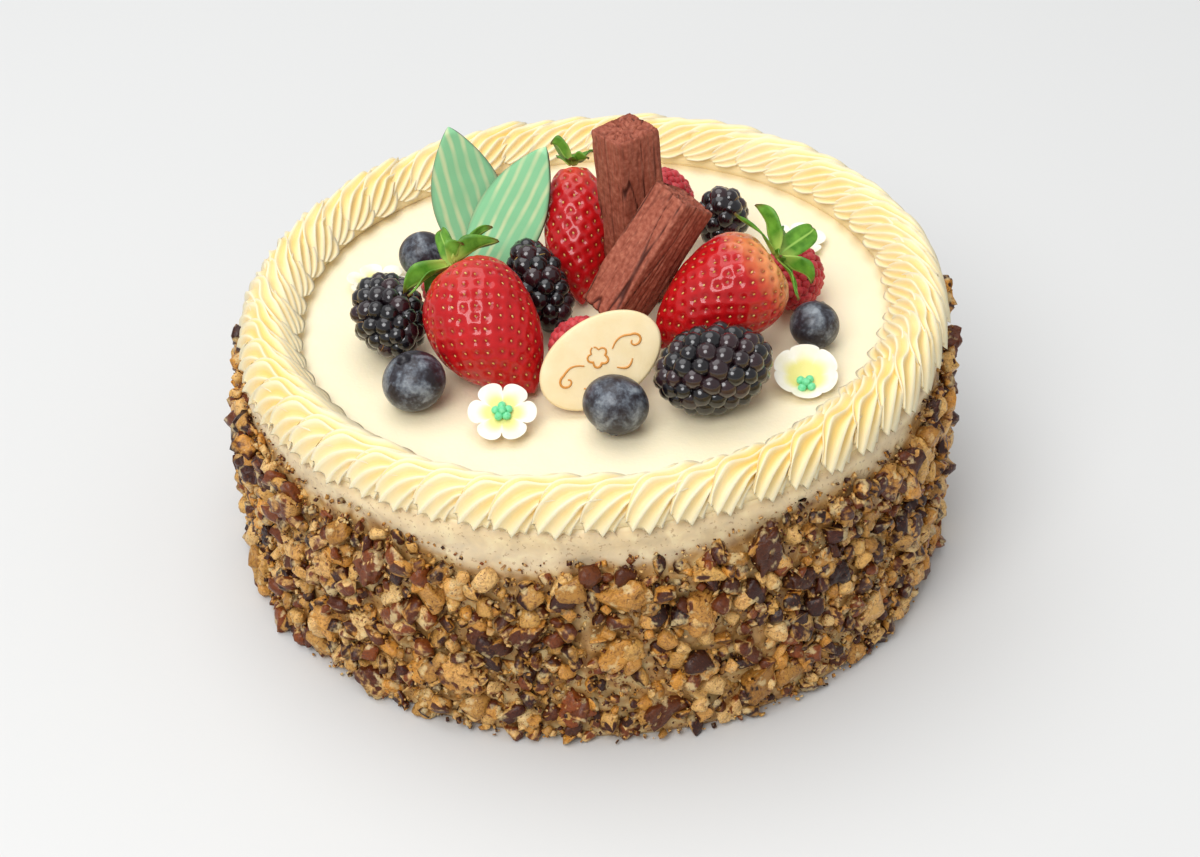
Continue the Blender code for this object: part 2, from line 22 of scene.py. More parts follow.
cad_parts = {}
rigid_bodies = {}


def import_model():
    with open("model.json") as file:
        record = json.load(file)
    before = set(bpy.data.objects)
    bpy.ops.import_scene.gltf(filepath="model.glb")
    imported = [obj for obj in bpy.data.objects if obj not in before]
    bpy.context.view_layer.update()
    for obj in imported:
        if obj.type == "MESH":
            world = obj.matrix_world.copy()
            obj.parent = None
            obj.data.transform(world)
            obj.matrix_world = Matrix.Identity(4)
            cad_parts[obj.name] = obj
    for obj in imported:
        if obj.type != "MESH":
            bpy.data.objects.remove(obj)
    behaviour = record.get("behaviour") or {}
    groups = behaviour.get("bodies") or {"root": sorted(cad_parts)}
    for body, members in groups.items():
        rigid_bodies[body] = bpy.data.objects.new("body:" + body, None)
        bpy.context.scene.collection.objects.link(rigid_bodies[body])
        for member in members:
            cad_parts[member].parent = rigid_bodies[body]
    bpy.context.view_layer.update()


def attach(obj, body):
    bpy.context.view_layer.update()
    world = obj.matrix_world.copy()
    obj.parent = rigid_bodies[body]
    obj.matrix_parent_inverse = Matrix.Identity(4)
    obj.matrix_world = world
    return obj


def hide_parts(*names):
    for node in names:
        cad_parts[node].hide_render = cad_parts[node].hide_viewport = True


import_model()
Triple = tuple[float, float, float]

MM = 0.001
SEED = 7
GOLDEN_TURN = pi * (3 - sqrt(5))
GOLDEN_SHARE = 0.618034
MOST_DRAWN = 9999
BODY = "root"
log = logging.getLogger("cake")

ICING_HEIGHT = 74.0
ICING_SLOPE = 0.053


def icing_height(x: float) -> float:
    """Height of the icing at x: the frosted top rises a little to the right."""
    return ICING_HEIGHT + ICING_SLOPE * x


def on_icing(x: float, y: float, lift: float) -> Vector:
    """The point that is lift above the icing at x, y."""
    return Vector((x, y, icing_height(x) + lift))


def pose(start: Vector, end: Vector, roll: float = 0.0) -> Matrix:
    """A turn and place.

    Args:
        start: where the new origin lies.
        end: the point that the new +Z looks at.
        roll: degrees that it is then turned about that line.

    Returns:
        The matrix, in millimetres.
    """
    direction = (end - start).normalized()
    turn = Vector((0, 0, 1)).rotation_difference(direction).to_matrix().to_4x4()
    return Matrix.Translation(start) @ turn @ Matrix.Rotation(radians(roll), 4, "Z")


def heading(turn: float) -> Vector:
    """The level way that lies this turn, in radians, from +X."""
    return Vector((cos(turn), sin(turn), 0.0))


def linear(code: str) -> tuple[float, float, float, float]:
    """Turns an sRGB hex colour into linear light.

    Args:
        code: the colour, such as #F4E2B0.

    Returns:
        Its red, green, blue and alpha.
    """
    shares = [int(code[i : i + 2], 16) / 255 for i in (1, 3, 5)]
    low = [s / 12.92 if s <= 0.04045 else ((s + 0.055) / 1.055) ** 2.4 for s in shares]
    return (*low, 1.0)


def per_mm(size: float) -> float:
    """The scale that gives a texture on Object coordinates features of this size."""
    return 1 / (size * MM)


def lumps(point: Sequence[float], size: float, salt: float = 0.0) -> float:
    """Smooth noise from about -1 to 1 with lumps of this size, other for each salt."""
    return noise.noise(Vector(point) / size + Vector((salt, salt * 1.7, -salt)))


def fade(value: float, low: float, high: float) -> float:
    """0 at low, 1 at high and smooth between."""
    share = min(max((value - low) / (high - low), 0.0), 1.0)
    return share * share * (3 - 2 * share)


def add(tree: NodeTree, kind: str, inputs: dict | None = None, **settings) -> Node:
    """Adds a node with its settings and links.

    Args:
        tree: the node tree that gets it.
        kind: the node's type.
        inputs: what each input gets, by name or number: a value, a socket, or a node, whose first
            output in use is linked.
        **settings: the node's own settings. stops is a colour ramp's list of (place, hex colour),
            its two ends first.

    Returns:
        The new node.
    """
    node = tree.nodes.new(kind)
    stops = settings.pop("stops", None)
    for name, value in settings.items():
        setattr(node, name, value)
    if stops:
        ramp = node.color_ramp
        for place, code in stops[2:]:
            ramp.elements.new(place).color = linear(code)
        for element, (place, code) in zip(ramp.elements, sorted(stops)):
            element.position = place
            element.color = linear(code)
    for key, value in (inputs or {}).items():
        if isinstance(key, int):
            socket = node.inputs[key]
        else:
            socket = next(s for s in node.inputs if s.enabled and s.name == key)
        if isinstance(value, Node):
            value = next(s for s in value.outputs if s.enabled)
        if isinstance(value, NodeSocket):
            tree.links.new(value, socket)
        else:
            socket.default_value = value
    return node


class Surface:
    """A material under construction: its Principled shader and the coordinates that it reads."""

    def __init__(self, name: str, **constants) -> None:
        """Starts the material.

        Args:
            name: what the real material is.
            **constants: values that are the same all over, with _ for a space in a socket's name.
        """
        self.material = bpy.data.materials.new(name)
        self.material.use_nodes = True
        self.tree = self.material.node_tree
        self.shader = self.tree.nodes["Principled BSDF"]
        for key, value in constants.items():
            self.shader.inputs[key.replace("_", " ")].default_value = value
        self.place = self.add("ShaderNodeTexCoord").outputs["Object"]

    def add(self, kind: str, inputs: dict | None = None, **settings) -> Node:
        """Adds a node to this material as the function add does."""
        return add(self.tree, kind, inputs, **settings)

    def link(self, name: str, source: Node) -> None:
        """Links the node's first output in use to the shader's input of that name."""
        output = next(s for s in source.outputs if s.enabled)
        self.tree.links.new(output, self.shader.inputs[name])

    def noise(self, size: float, detail: float = 3.0, **inputs) -> Node:
        """Noise with features of this size in mm, on Object coordinates."""
        values = {"Vector": self.place, "Scale": per_mm(size), "Detail": detail, **inputs}
        return self.add("ShaderNodeTexNoise", values)

    def value(self, name: str) -> NodeSocket:
        """The number that the mesh carries under this name."""
        return self.add("ShaderNodeAttribute", attribute_name=name).outputs["Fac"]

    def between(self, low: float, high: float, source) -> Node:
        """The source from low to high, spread over 0 to 1 and cut off there."""
        inputs = {"Value": source, "From Min": low, "From Max": high}
        return self.add("ShaderNodeMapRange", inputs, clamp=True)

    def ramp(self, source, *stops: tuple[float, str]) -> Node:
        """Colours along the source, from (place, hex colour) stops."""
        return self.add("ShaderNodeValToRGB", {"Fac": source}, stops=list(stops))

    def mix(self, share, first, second, blend: str = "MIX") -> Node:
        """Lays one colour over another.

        Args:
            share: how much of the second shows.
            first: the colour below: a node, a socket or a hex code.
            second: the colour on top.
            blend: how the two are blended.

        Returns:
            The mixing node.
        """
        first = linear(first) if isinstance(first, str) else first
        second = linear(second) if isinstance(second, str) else second
        inputs = {"Factor": share, "A": first, "B": second}
        return self.add("ShaderNodeMix", inputs, data_type="RGBA", blend_type=blend)

    def maths(self, operation: str, *values) -> Node:
        """The result of a math operation on these values."""
        return self.add("ShaderNodeMath", dict(enumerate(values)), operation=operation)

    def times(self, first, second) -> Node:
        """The two multiplied."""
        return self.maths("MULTIPLY", first, second)

    def plus(self, first, second) -> Node:
        """The two added up."""
        return self.maths("ADD", first, second)

    def finished(self, colour: Node, *bumps: tuple) -> Material:
        """Ends the material.

        Args:
            colour: its base colour.
            *bumps: (height, depth) of each layer of bumps, which raises the surface by up to
                depth mm where height is 1.

        Returns:
            The material.
        """
        self.link("Base Color", colour)
        normal = None
        for height, depth in bumps:
            inputs = {"Height": height, "Distance": depth * MM, "Strength": 1.0}
            if normal is not None:
                inputs["Normal"] = normal
            normal = self.add("ShaderNodeBump", inputs)
        if normal is not None:
            self.link("Normal", normal)
        return self.material


@dataclass(frozen=True)
class Frosting:
    """Whipped cream-cheese frosting: fat and air make it satin and softly translucent ivory. Its
    creases and the frosting under the border get a painted deeper yellow, for shade and light
    bounced there."""

    name: str
    open_colour: str = "#F5E8C6"
    crease_shade_colour: str = "#F3CE72"
    specks_and_shade: bool = False
    bubble: float = 1.1
    roughness: float = 0.42

    def make(self) -> Material:
        """Builds the finish.

        Returns:
            Its material.
        """
        skin = Surface(
            self.name, Roughness=self.roughness, IOR=1.45, Subsurface_Weight=0.12,
            Subsurface_Radius=(1.0, 0.7, 0.35), Subsurface_Scale=2.5 * MM,
        )
        # painted shade: the crease value marks where shade and bounced light fall, and mixes in the
        # deeper yellow
        crease = skin.between(0.15, 1.0, skin.value("crease"))
        colour = skin.mix(crease, self.open_colour, self.crease_shade_colour)
        clouds = skin.between(0.35, 0.7, skin.noise(26.0))
        colour = skin.mix(skin.times(clouds, 0.22), colour, "#FBF3DC")
        if self.specks_and_shade:
            colour = self.crumbed_and_shaded(skin, colour)
        bubbles = skin.noise(self.bubble, 2.0)
        return skin.finished(colour, (bubbles, 0.07), (skin.noise(5.0, 2.0), 0.12))

    def crumbed_and_shaded(self, skin: Surface, colour: Node) -> Node:
        """Adds nut dust, and a painted shade in the same tan, where the mesh marks the frosting's
        side.

        Args:
            skin: the material under construction.
            colour: the clean frosting's colour.

        Returns:
            The colour with its specks and its painted shade.
        """
        # nut dust near the walnuts, and over the rest of the side a painted shade of the border
        dusty = skin.value("dusty")
        smear = skin.ramp(skin.noise(5.0, 4.0, Distortion=0.6),
                          (0.3, "#96682F"), (0.66, "#DABE86"), (0.5, "#C2965A"))
        colour = skin.mix(dusty, colour, smear)
        speck = skin.between(0.63, 0.66, skin.noise(1.1, 2.0))
        return skin.mix(skin.times(speck, dusty), colour, "#8A5A34")


@dataclass(frozen=True)
class WalnutKernel:
    """Chopped walnut: dry oily flesh, tan where it is broken, under a papery brown to black skin
    that clings in patches and veins."""

    name: str = "chopped_walnut"
    grain: float = 0.8

    def make(self) -> Material:
        """Builds the finish.

        Returns:
            Its material.
        """
        nut = Surface(self.name, IOR=1.47, Specular_IOR_Level=0.4, Subsurface_Weight=0.15,
                      Subsurface_Radius=(1.0, 0.6, 0.25), Subsurface_Scale=1.2 * MM)
        tone = nut.value("tone")
        flesh = nut.ramp(tone, (0.0, "#A8742F"), (1.0, "#C28C44"), (0.3, "#DCAA5C"),
                         (0.55, "#E8C07E"), (0.8, "#D6943A"))
        papery = nut.ramp(tone, (0.0, "#2A1008"), (1.0, "#6C320E"), (0.35, "#4A1C0A"),
                          (0.6, "#8A4416"), (0.8, "#2C1108"))
        edge = nut.times(nut.plus(nut.noise(2.2, 4.0), -0.5), 0.9)
        skin = nut.between(0.36, 0.58, nut.plus(edge, nut.value("skin")))
        colour = nut.mix(skin, flesh, papery)
        fibre = nut.noise(1.3, 4.0, Distortion=1.5)
        shade = nut.ramp(fibre, (0.34, "#7A4E2C"), (0.56, "#FFFFFF"))
        colour = nut.mix(0.5, colour, shade, "MULTIPLY")
        smear = nut.between(0.57, 0.66, nut.noise(4.0, 3.0))
        colour = nut.mix(nut.times(smear, 0.7), colour, "#DEC48E")
        speck = nut.between(0.62, 0.66, nut.noise(0.8, 2.0))
        colour = nut.mix(nut.times(speck, 0.7), colour, "#6A3A1C")
        gloss = nut.add("ShaderNodeMapRange", {"Value": skin, "To Min": 0.42, "To Max": 0.36})
        nut.link("Roughness", gloss)
        return nut.finished(colour, (fibre, 0.2), (nut.noise(self.grain, 4.0), 0.12))


@dataclass(frozen=True)
class StrawberrySkin:
    """Ripe strawberry: thin taut skin over wet flesh, so a clear gloss over deep red that pales
    towards the shoulder where it ripened last."""

    name: str
    shoulder: str
    pale_from: float
    body: str = "#AE060E"

    def make(self) -> Material:
        """Builds the finish.

        Returns:
            Its material.
        """
        skin = Surface(
            self.name, Roughness=0.45, Specular_IOR_Level=0.12, Coat_Weight=0.72,
            Coat_Roughness=0.12, Subsurface_Weight=0.1, Subsurface_Radius=(1.0, 0.2, 0.1),
            Subsurface_Scale=2.0 * MM,
        )
        blotch = skin.between(0.3, 0.75, skin.noise(7.0, 3.0))
        colour = skin.mix(blotch, self.body, "#C21317")
        ripe = skin.plus(skin.times(skin.noise(5.0, 2.0), 0.16), skin.value("share"))
        pale = skin.between(self.pale_from, self.pale_from + 0.24, ripe)
        colour = skin.mix(pale, colour, self.shoulder)
        # painted shade: the pits round the seeds are darkened
        colour = skin.mix(skin.between(0.35, 1.3, skin.value("pit")), colour, "#8A070E")
        return skin.finished(colour, (skin.noise(0.6, 2.0), 0.05))


@dataclass(frozen=True)
class Toned:
    """A plain organic finish whose pieces differ in tone, such as seeds, drupelets or hairs."""

    name: str
    dark: str
    middle: str
    light: str
    roughness: float
    mottle: float = 0.8
    mottle_depth: float = 0.06
    coat: float = 0.0
    sheen: float = 0.0
    core_shade_colour: str = ""

    def make(self) -> Material:
        """Builds the finish.

        Returns:
            Its material.
        """
        skin = Surface(
            self.name, Roughness=self.roughness, IOR=1.42, Coat_Weight=self.coat,
            Coat_Roughness=0.12, Sheen_Weight=self.sheen, Sheen_Roughness=0.4,
        )
        grain = skin.noise(self.mottle, 3.0)
        share = skin.plus(skin.times(grain, 0.3), skin.value("tone"))
        colour = skin.ramp(share, (0.1, self.dark), (1.1, self.light), (0.6, self.middle))
        # painted shade: a berry's core, which shows only between its drupelets, takes this dark
        # colour
        if self.core_shade_colour:
            colour = skin.mix(skin.between(0.2, 0.9, skin.value("core")), colour, self.core_shade_colour)
        return skin.finished(colour, (grain, self.mottle_depth))


@dataclass(frozen=True)
class BlueberrySkin:
    """Blueberry: near-black skin under a dusty wax bloom that is rubbed away in patches."""

    name: str = "blueberry_bloom"

    def make(self) -> Material:
        """Builds the finish.

        Returns:
            Its material.
        """
        skin = Surface(self.name, Roughness=0.38, IOR=1.4, Coat_Weight=0.15, Coat_Roughness=0.3)
        broad = skin.noise(5.0, 5.0, Distortion=0.5)
        fine = skin.noise(0.9, 3.0)
        rubbed = skin.plus(skin.times(fine, 0.34), broad)
        colour = skin.ramp(rubbed, (0.5, "#221B20"), (0.92, "#8C939A"), (0.62, "#34333A"),
                           (0.72, "#555A63"))
        colour = skin.mix(skin.value("crown"), colour, "#17131A")
        return skin.finished(colour, (fine, 0.06))


@dataclass(frozen=True)
class MilkChocolate:
    """Milk chocolate let fall in thin folds: matt and crumbly, with painted shade darkening its
    creases, cracks and broken ends.
    """

    name: str = "crinkled_milk_chocolate"

    def make(self) -> Material:
        """Builds the finish.

        Returns:
            Its material.
        """
        bar = Surface(self.name, Roughness=0.55, IOR=1.46, Specular_IOR_Level=0.3)
        grain = bar.noise(1.4, 5.0)
        colour = bar.ramp(grain, (0.3, "#84402C"), (0.72, "#B46C54"), (0.5, "#9C5440"))
        # painted shade: creases, cracks and the recesses of the broken ends are darkened
        colour = bar.mix(bar.between(0.1, 0.9, bar.value("crease")), colour, "#4E2218")
        return bar.finished(colour, (grain, 0.12), (bar.noise(0.5, 2.0), 0.08))


@dataclass(frozen=True)
class MintChocolate:
    """Coloured white chocolate spread thin over a striped sheet, on a dark chocolate back."""

    name: str = "mint_white_chocolate"
    stripe_pitch: float = 3.5

    def make(self) -> Material:
        """Builds the finish.

        Returns:
            Its material.
        """
        leaf = Surface(self.name, Roughness=0.4, IOR=1.46, Specular_IOR_Level=0.45)
        sway = leaf.times(leaf.noise(22.0, 2.0), 3.0)
        turn = leaf.times(leaf.plus(leaf.value("across"), sway), tau / self.stripe_pitch)
        stripe = leaf.between(0.0, 1.0, leaf.maths("SINE", turn))
        patch = leaf.between(0.25, 0.55, leaf.noise(12.0, 2.0))
        colour = leaf.mix(leaf.noise(20.0, 2.0), "#84C894", "#94D09C")
        colour = leaf.mix(leaf.times(stripe, patch), colour, "#CBDCA8")
        colour = leaf.mix(leaf.between(0.12, 0.4, leaf.value("back")), colour, "#3A1F18")
        return leaf.finished(colour, (leaf.noise(3.0, 3.0), 0.1))


@dataclass(frozen=True)
class Confection:
    """A smooth moulded sweet surface: two close colours in soft clouds, and a satin gloss."""

    name: str
    first: str
    second: str
    roughness: float
    cloud: float = 6.0
    grain: float = 0.7
    depth: float = 0.05
    blush: str = ""

    def make(self) -> Material:
        """Builds the finish.

        Returns:
            Its material.
        """
        body = Surface(
            self.name, Roughness=self.roughness, IOR=1.46, Subsurface_Weight=0.1,
            Subsurface_Radius=(1.0, 0.8, 0.5), Subsurface_Scale=1.5 * MM,
        )
        colour = body.mix(body.between(0.35, 0.65, body.noise(self.cloud)), self.first, self.second)
        if self.blush:
            colour = body.mix(body.value("blush"), colour, self.blush)
        return body.finished(colour, (body.noise(self.grain, 2.0), self.depth))


@dataclass(frozen=True)
class GreenLeaf:
    """A strawberry's sepal: satin green, veined, paler at its foot and brown at its tip."""

    name: str = "strawberry_sepal"

    def make(self) -> Material:
        """Builds the finish.

        Returns:
            Its material.
        """
        leaf = Surface(self.name, Roughness=0.45, IOR=1.42, Specular_IOR_Level=0.45)
        colour = leaf.mix(leaf.between(0.3, 0.7, leaf.noise(3.0)), "#3F7418", "#71A636")
        colour = leaf.mix(leaf.between(0.35, 0.0, leaf.value("along")), colour, "#B9CC62")
        vein = leaf.maths("COSINE", leaf.times(leaf.value("across"), 5.5))
        colour = leaf.mix(leaf.between(0.8, 1.0, vein), colour, "#9CC45A")
        colour = leaf.mix(leaf.between(0.86, 1.0, leaf.value("along")), colour, "#6B4A22")
        return leaf.finished(colour, (vein, 0.05))


@dataclass(frozen=True)
class BackdropPaper:
    """Matt white background paper, the plain pale floor."""

    name: str = "background_paper"
    colour: str = "#D4D4D3"

    def make(self) -> Material:
        """Builds the finish.

        Returns:
            Its material.
        """
        paper = Surface(self.name, Roughness=0.9, Specular_IOR_Level=0.1)
        return paper.finished(paper.mix(paper.noise(300.0), self.colour, "#D6D6D5"))


def set_values(mesh: Mesh, name: str, values: Sequence[float]) -> None:
    """Stores one number for each vertex under this name."""
    layer = mesh.attributes.new(name, "FLOAT", "POINT")
    layer.data.foreach_set("value", np.asarray(values, np.float32))


def set_vectors(mesh: Mesh, name: str, values: Sequence[Sequence[float]]) -> None:
    """Stores one vector for each vertex under this name."""
    layer = mesh.attributes.new(name, "FLOAT_VECTOR", "POINT")
    layer.data.foreach_set("vector", np.asarray(values, np.float32).ravel())


def mesh_from(name: str, points: np.ndarray, faces: list[tuple[int, ...]]) -> Mesh:
    """A smooth mesh in metres with outward faces.

    Args:
        name: the mesh's name.
        points: its vertices in millimetres.
        faces: vertex numbers of each face.

    Returns:
        The mesh.
    """
    mesh = bpy.data.meshes.new(name)
    mesh.from_pydata((np.asarray(points, float) * MM).tolist(), [], faces)
    bm = bmesh.new()
    bm.from_mesh(mesh)
    bmesh.ops.recalc_face_normals(bm, faces=bm.faces)
    bm.to_mesh(mesh)
    bm.free()
    mesh.shade_smooth()
    return mesh


def lofted(name: str, rings: np.ndarray, start: Sequence[float], end: Sequence[float]) -> Mesh:
    """A closed skin through rings of points, with a fan of triangles over each end.

    Args:
        name: the mesh's name.
        rings: an array (levels, points round, 3) in millimetres.
        start: the middle point of the first end.
        end: the middle point of the last end.

    Returns:
        The mesh: vertex 0 is start, then come the rings in order, and the last vertex is end.
    """
    levels, around, _ = rings.shape
    points = np.vstack([[start], rings.reshape(-1, 3), [end]])
    last = len(points) - 1
    faces: list[tuple[int, ...]] = []
    for here in range(around):
        after = (here + 1) % around
        faces.append((0, 1 + after, 1 + here))
        faces.append((last, last - around + here, last - around + after))
        for level in range(levels - 1):
            low = 1 + level * around
            faces.append((low + here, low + after, low + around + after, low + around + here))
    return mesh_from(name, points, faces)


def turned(
    name: str, levels: Sequence, around: int, point: Callable, start: Sequence[float],
    end: Sequence[float], **values: tuple[float, float],
) -> Mesh:
    """A closed skin whose every point comes from its level and its turn.

    Args:
        name: the mesh's name.
        levels: what point gets for each ring.
        around: how many points a ring has.
        point: makes a place in mm, and its values, out of a level and a turn in radians.
        start: the middle point of the first end, in mm.
        end: the middle point of the last end, in mm.
        **values: what each value is at the start and at the end.

    Returns:
        The mesh, which carries each value under its name.
    """
    rings, found = [], []
    for level in levels:
        made = [point(level, tau * step / around) for step in range(around)]
        rings.append([place for place, *_ in made])
        found += [numbers for _, *numbers in made]
    mesh = lofted(name, np.array(rings), start, end)
    for column, (label, (first, last)) in enumerate(values.items()):
        set_values(mesh, label, [first, *(row[column] for row in found), last])
    return mesh


def new_object(name: str, data: ID) -> Object:
    """Links a new object to the scene.

    Args:
        name: its name.
        data: its mesh, camera or light.

    Returns:
        The object.
    """
    obj = bpy.data.objects.new(name, data)
    bpy.context.scene.collection.objects.link(obj)
    return obj


def baked(obj: Object) -> Object:
    """Turns an object's modifiers into plain mesh.

    Args:
        obj: the object.

    Returns:
        The same object.
    """
    graph = bpy.context.evaluated_depsgraph_get()
    made = bpy.data.meshes.new_from_object(
        obj.evaluated_get(graph), preserve_all_data_layers=True, depsgraph=graph
    )
    obj.modifiers.clear()
    obj.data = made
    made.name = obj.name
    return obj


def finish_piece(piece: Object, slot: str = "", *nodes: str) -> None:
    """Hands a finished piece to the frame.

    Args:
        piece: the object, at the origin.
        slot: the record's material slot, or an empty text; not used.
        *nodes: the CAD nodes that it stands for.
    """
    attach(piece, BODY)
    if nodes:
        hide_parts(*nodes)
    triangles = sum(len(face.vertices) - 2 for face in piece.data.polygons)
    log.info("%s: %d triangles", piece.name, triangles)


def in_metres(place: Matrix) -> Matrix:
    """Changes the unit of a turn and place.

    Args:
        place: the turn and place, in millimetres.

    Returns:
        The same for a mesh in metres.
    """
    place = place.copy()
    place.translation *= MM
    return place


def set_down(mesh: Mesh, place: Matrix, material: Material, slot: str, *nodes: str) -> None:
    """Makes a mesh a finished piece of the same name.

    Args:
        mesh: the mesh, about its own origin.
        place: where it goes, in millimetres.
        material: its finish.
        slot: the record's material slot, or an empty text; not used.
        *nodes: the CAD nodes that it stands for.
    """
    mesh.transform(in_metres(place))
    mesh.materials.append(material)
    finish_piece(new_object(mesh.name, mesh), slot, *nodes)


class NodeTreeKind(Enum):
    """The Geometry Nodes trees of this object."""

    SCATTER = "scatter_pieces"
    FOLLOW = "follow_path"


def new_tree(kind: NodeTreeKind, sockets: dict[str, str]) -> tuple[NodeTree, Node]:
    """Starts a Geometry Nodes tree with named inputs.

    Args:
        kind: which tree it is.
        sockets: the type of each input's socket, by its name.

    Returns:
        The tree and its input node.
    """
    tree = bpy.data.node_groups.new(kind.value, "GeometryNodeTree")
    tree.is_modifier = True
    tree.interface.new_socket(name="Geometry", in_out="OUTPUT", socket_type="NodeSocketGeometry")
    for name, socket_type in {"Geometry": "NodeSocketGeometry", **sockets}.items():
        tree.interface.new_socket(name=name, in_out="INPUT", socket_type=socket_type)
    return tree, tree.nodes.new("NodeGroupInput")


def carried(tree: NodeTree, name: str, kind: str = "FLOAT") -> Node:
    """The value of this kind that each point carries under this name."""
    return add(tree, "GeometryNodeInputNamedAttribute", {"Name": name}, data_type=kind)


def drawn(tree: NodeTree, low, high, seed, kind: str = "FLOAT") -> Node:
    """A random value of this kind for each point, from low to high."""
    inputs = {"Min": low, "Max": high, "Seed": seed}
    return add(tree, "FunctionNodeRandomValue", inputs, data_type=kind)


def ended(tree: NodeTree, geometry, finish) -> NodeTree:
    """Ends a tree by giving its geometry a finish.

    Args:
        tree: the tree.
        geometry: the node with the geometry.
        finish: the socket with the material.

    Returns:
        The tree.
    """
    dressed = add(tree, "GeometryNodeSetMaterial", {"Geometry": geometry, "Material": finish})
    add(tree, "NodeGroupOutput", {"Geometry": dressed})
    return tree


def scatter_tree() -> NodeTree:
    """Builds the tree that sets a piece of a collection on every point.

    Each point's facing turns the piece's +Z, its along turns the piece's +Y, and its size scales
    it. Shape, spin, scale and tone are drawn from the seed.

    Returns:
        The tree.
    """
    tree, start = new_tree(NodeTreeKind.SCATTER, {
        "Kinds": "NodeSocketCollection", "Core": "NodeSocketObject",
        "Smallest": "NodeSocketFloat", "Largest": "NodeSocketFloat", "Spin": "NodeSocketFloat",
        "Lean": "NodeSocketFloat", "Seed": "NodeSocketInt", "Finish": "NodeSocketMaterial",
    })
    given = start.outputs
    facing = carried(tree, "facing", "FLOAT_VECTOR")
    along = carried(tree, "along", "FLOAT_VECTOR")
    upright = add(tree, "FunctionNodeAlignRotationToVector", {"Vector": facing}, axis="Z")
    aimed = add(tree, "FunctionNodeAlignRotationToVector", {"Rotation": upright, "Vector": along},
                axis="Y", pivot_axis="Z")
    spin = drawn(tree, 0.0, given["Spin"], given["Seed"])
    negative = add(tree, "ShaderNodeMath", {0: given["Lean"], 1: -1.0}, operation="MULTIPLY")
    leans = [drawn(tree, negative, given["Lean"], seed) for seed in (SEED, SEED + 1)]
    turn = add(tree, "ShaderNodeCombineXYZ", {"X": leans[0], "Y": leans[1], "Z": spin})
    turn = add(tree, "FunctionNodeEulerToRotation", {"Euler": turn})
    rotation = add(tree, "FunctionNodeRotateRotation", {"Rotation": aimed, "Rotate By": turn},
                   rotation_space="LOCAL")
    small = add(tree, "ShaderNodeCombineXYZ", {axis: given["Smallest"] for axis in "XYZ"})
    large = add(tree, "ShaderNodeCombineXYZ", {axis: given["Largest"] for axis in "XYZ"})
    stretch = drawn(tree, small, large, given["Seed"], "FLOAT_VECTOR")
    scale = add(tree, "ShaderNodeVectorMath", {0: stretch, "Scale": carried(tree, "size")},
                operation="SCALE")
    kinds = add(tree, "GeometryNodeCollectionInfo",
                {"Collection": given["Kinds"], "Separate Children": True, "Reset Children": True})
    placed = add(tree, "GeometryNodeInstanceOnPoints", {
        "Points": given["Geometry"], "Instance": kinds, "Pick Instance": True,
        "Instance Index": drawn(tree, 0, MOST_DRAWN, given["Seed"], "INT"), "Rotation": rotation,
        "Scale": scale,
    })
    shade = drawn(tree, 0.0, 1.0, given["Seed"])
    toned = add(tree, "GeometryNodeStoreNamedAttribute",
                {"Geometry": placed, "Name": "tone", "Value": shade}, domain="INSTANCE")
    core = add(tree, "GeometryNodeObjectInfo", {"Object": given["Core"]})
    realized = add(tree, "GeometryNodeRealizeInstances", {"Geometry": toned})
    joined = add(tree, "GeometryNodeJoinGeometry", {"Geometry": realized})
    tree.links.new(core.outputs["Geometry"], joined.inputs["Geometry"])
    return ended(tree, joined, given["Finish"])


def follow_tree() -> NodeTree:
    """Builds the tree that draws a section along a path.

    The path's outward turns the section, its swell scales it, and the result is roughened by
    noise of a real depth and size.

    Returns:
        The tree.
    """
    tree, start = new_tree(NodeTreeKind.FOLLOW, {
        "Section": "NodeSocketObject", "Depth": "NodeSocketFloat", "Lump": "NodeSocketFloat",
        "Finish": "NodeSocketMaterial",
    })
    given = start.outputs
    path = add(tree, "GeometryNodeMeshToCurve", {"Mesh": given["Geometry"]})
    outward = carried(tree, "outward", "FLOAT_VECTOR")
    path = add(tree, "GeometryNodeSetCurveNormal", {"Curve": path, "Normal": outward}, mode="FREE")
    section = add(tree, "GeometryNodeObjectInfo", {"Object": given["Section"]})
    section = add(tree, "GeometryNodeMeshToCurve", {"Mesh": section.outputs["Geometry"]})
    swept = add(tree, "GeometryNodeCurveToMesh", {
        "Curve": path, "Profile Curve": section, "Scale": carried(tree, "swell"), "Fill Caps": True,
    })
    grain = add(tree, "ShaderNodeTexNoise", {"Scale": given["Lump"], "Detail": 2.0})
    centred = add(tree, "ShaderNodeVectorMath", {0: grain.outputs["Color"], 1: (0.5, 0.5, 0.5)},
                  operation="SUBTRACT")
    offset = add(tree, "ShaderNodeVectorMath", {0: centred, "Scale": given["Depth"]},
                 operation="SCALE")
    rough = add(tree, "GeometryNodeSetPosition", {"Geometry": swept, "Offset": offset})
    smooth = add(tree, "GeometryNodeSetShadeSmooth", {"Geometry": rough})
    real = add(tree, "GeometryNodeRealizeInstances", {"Geometry": smooth})
    return ended(tree, real, given["Finish"])


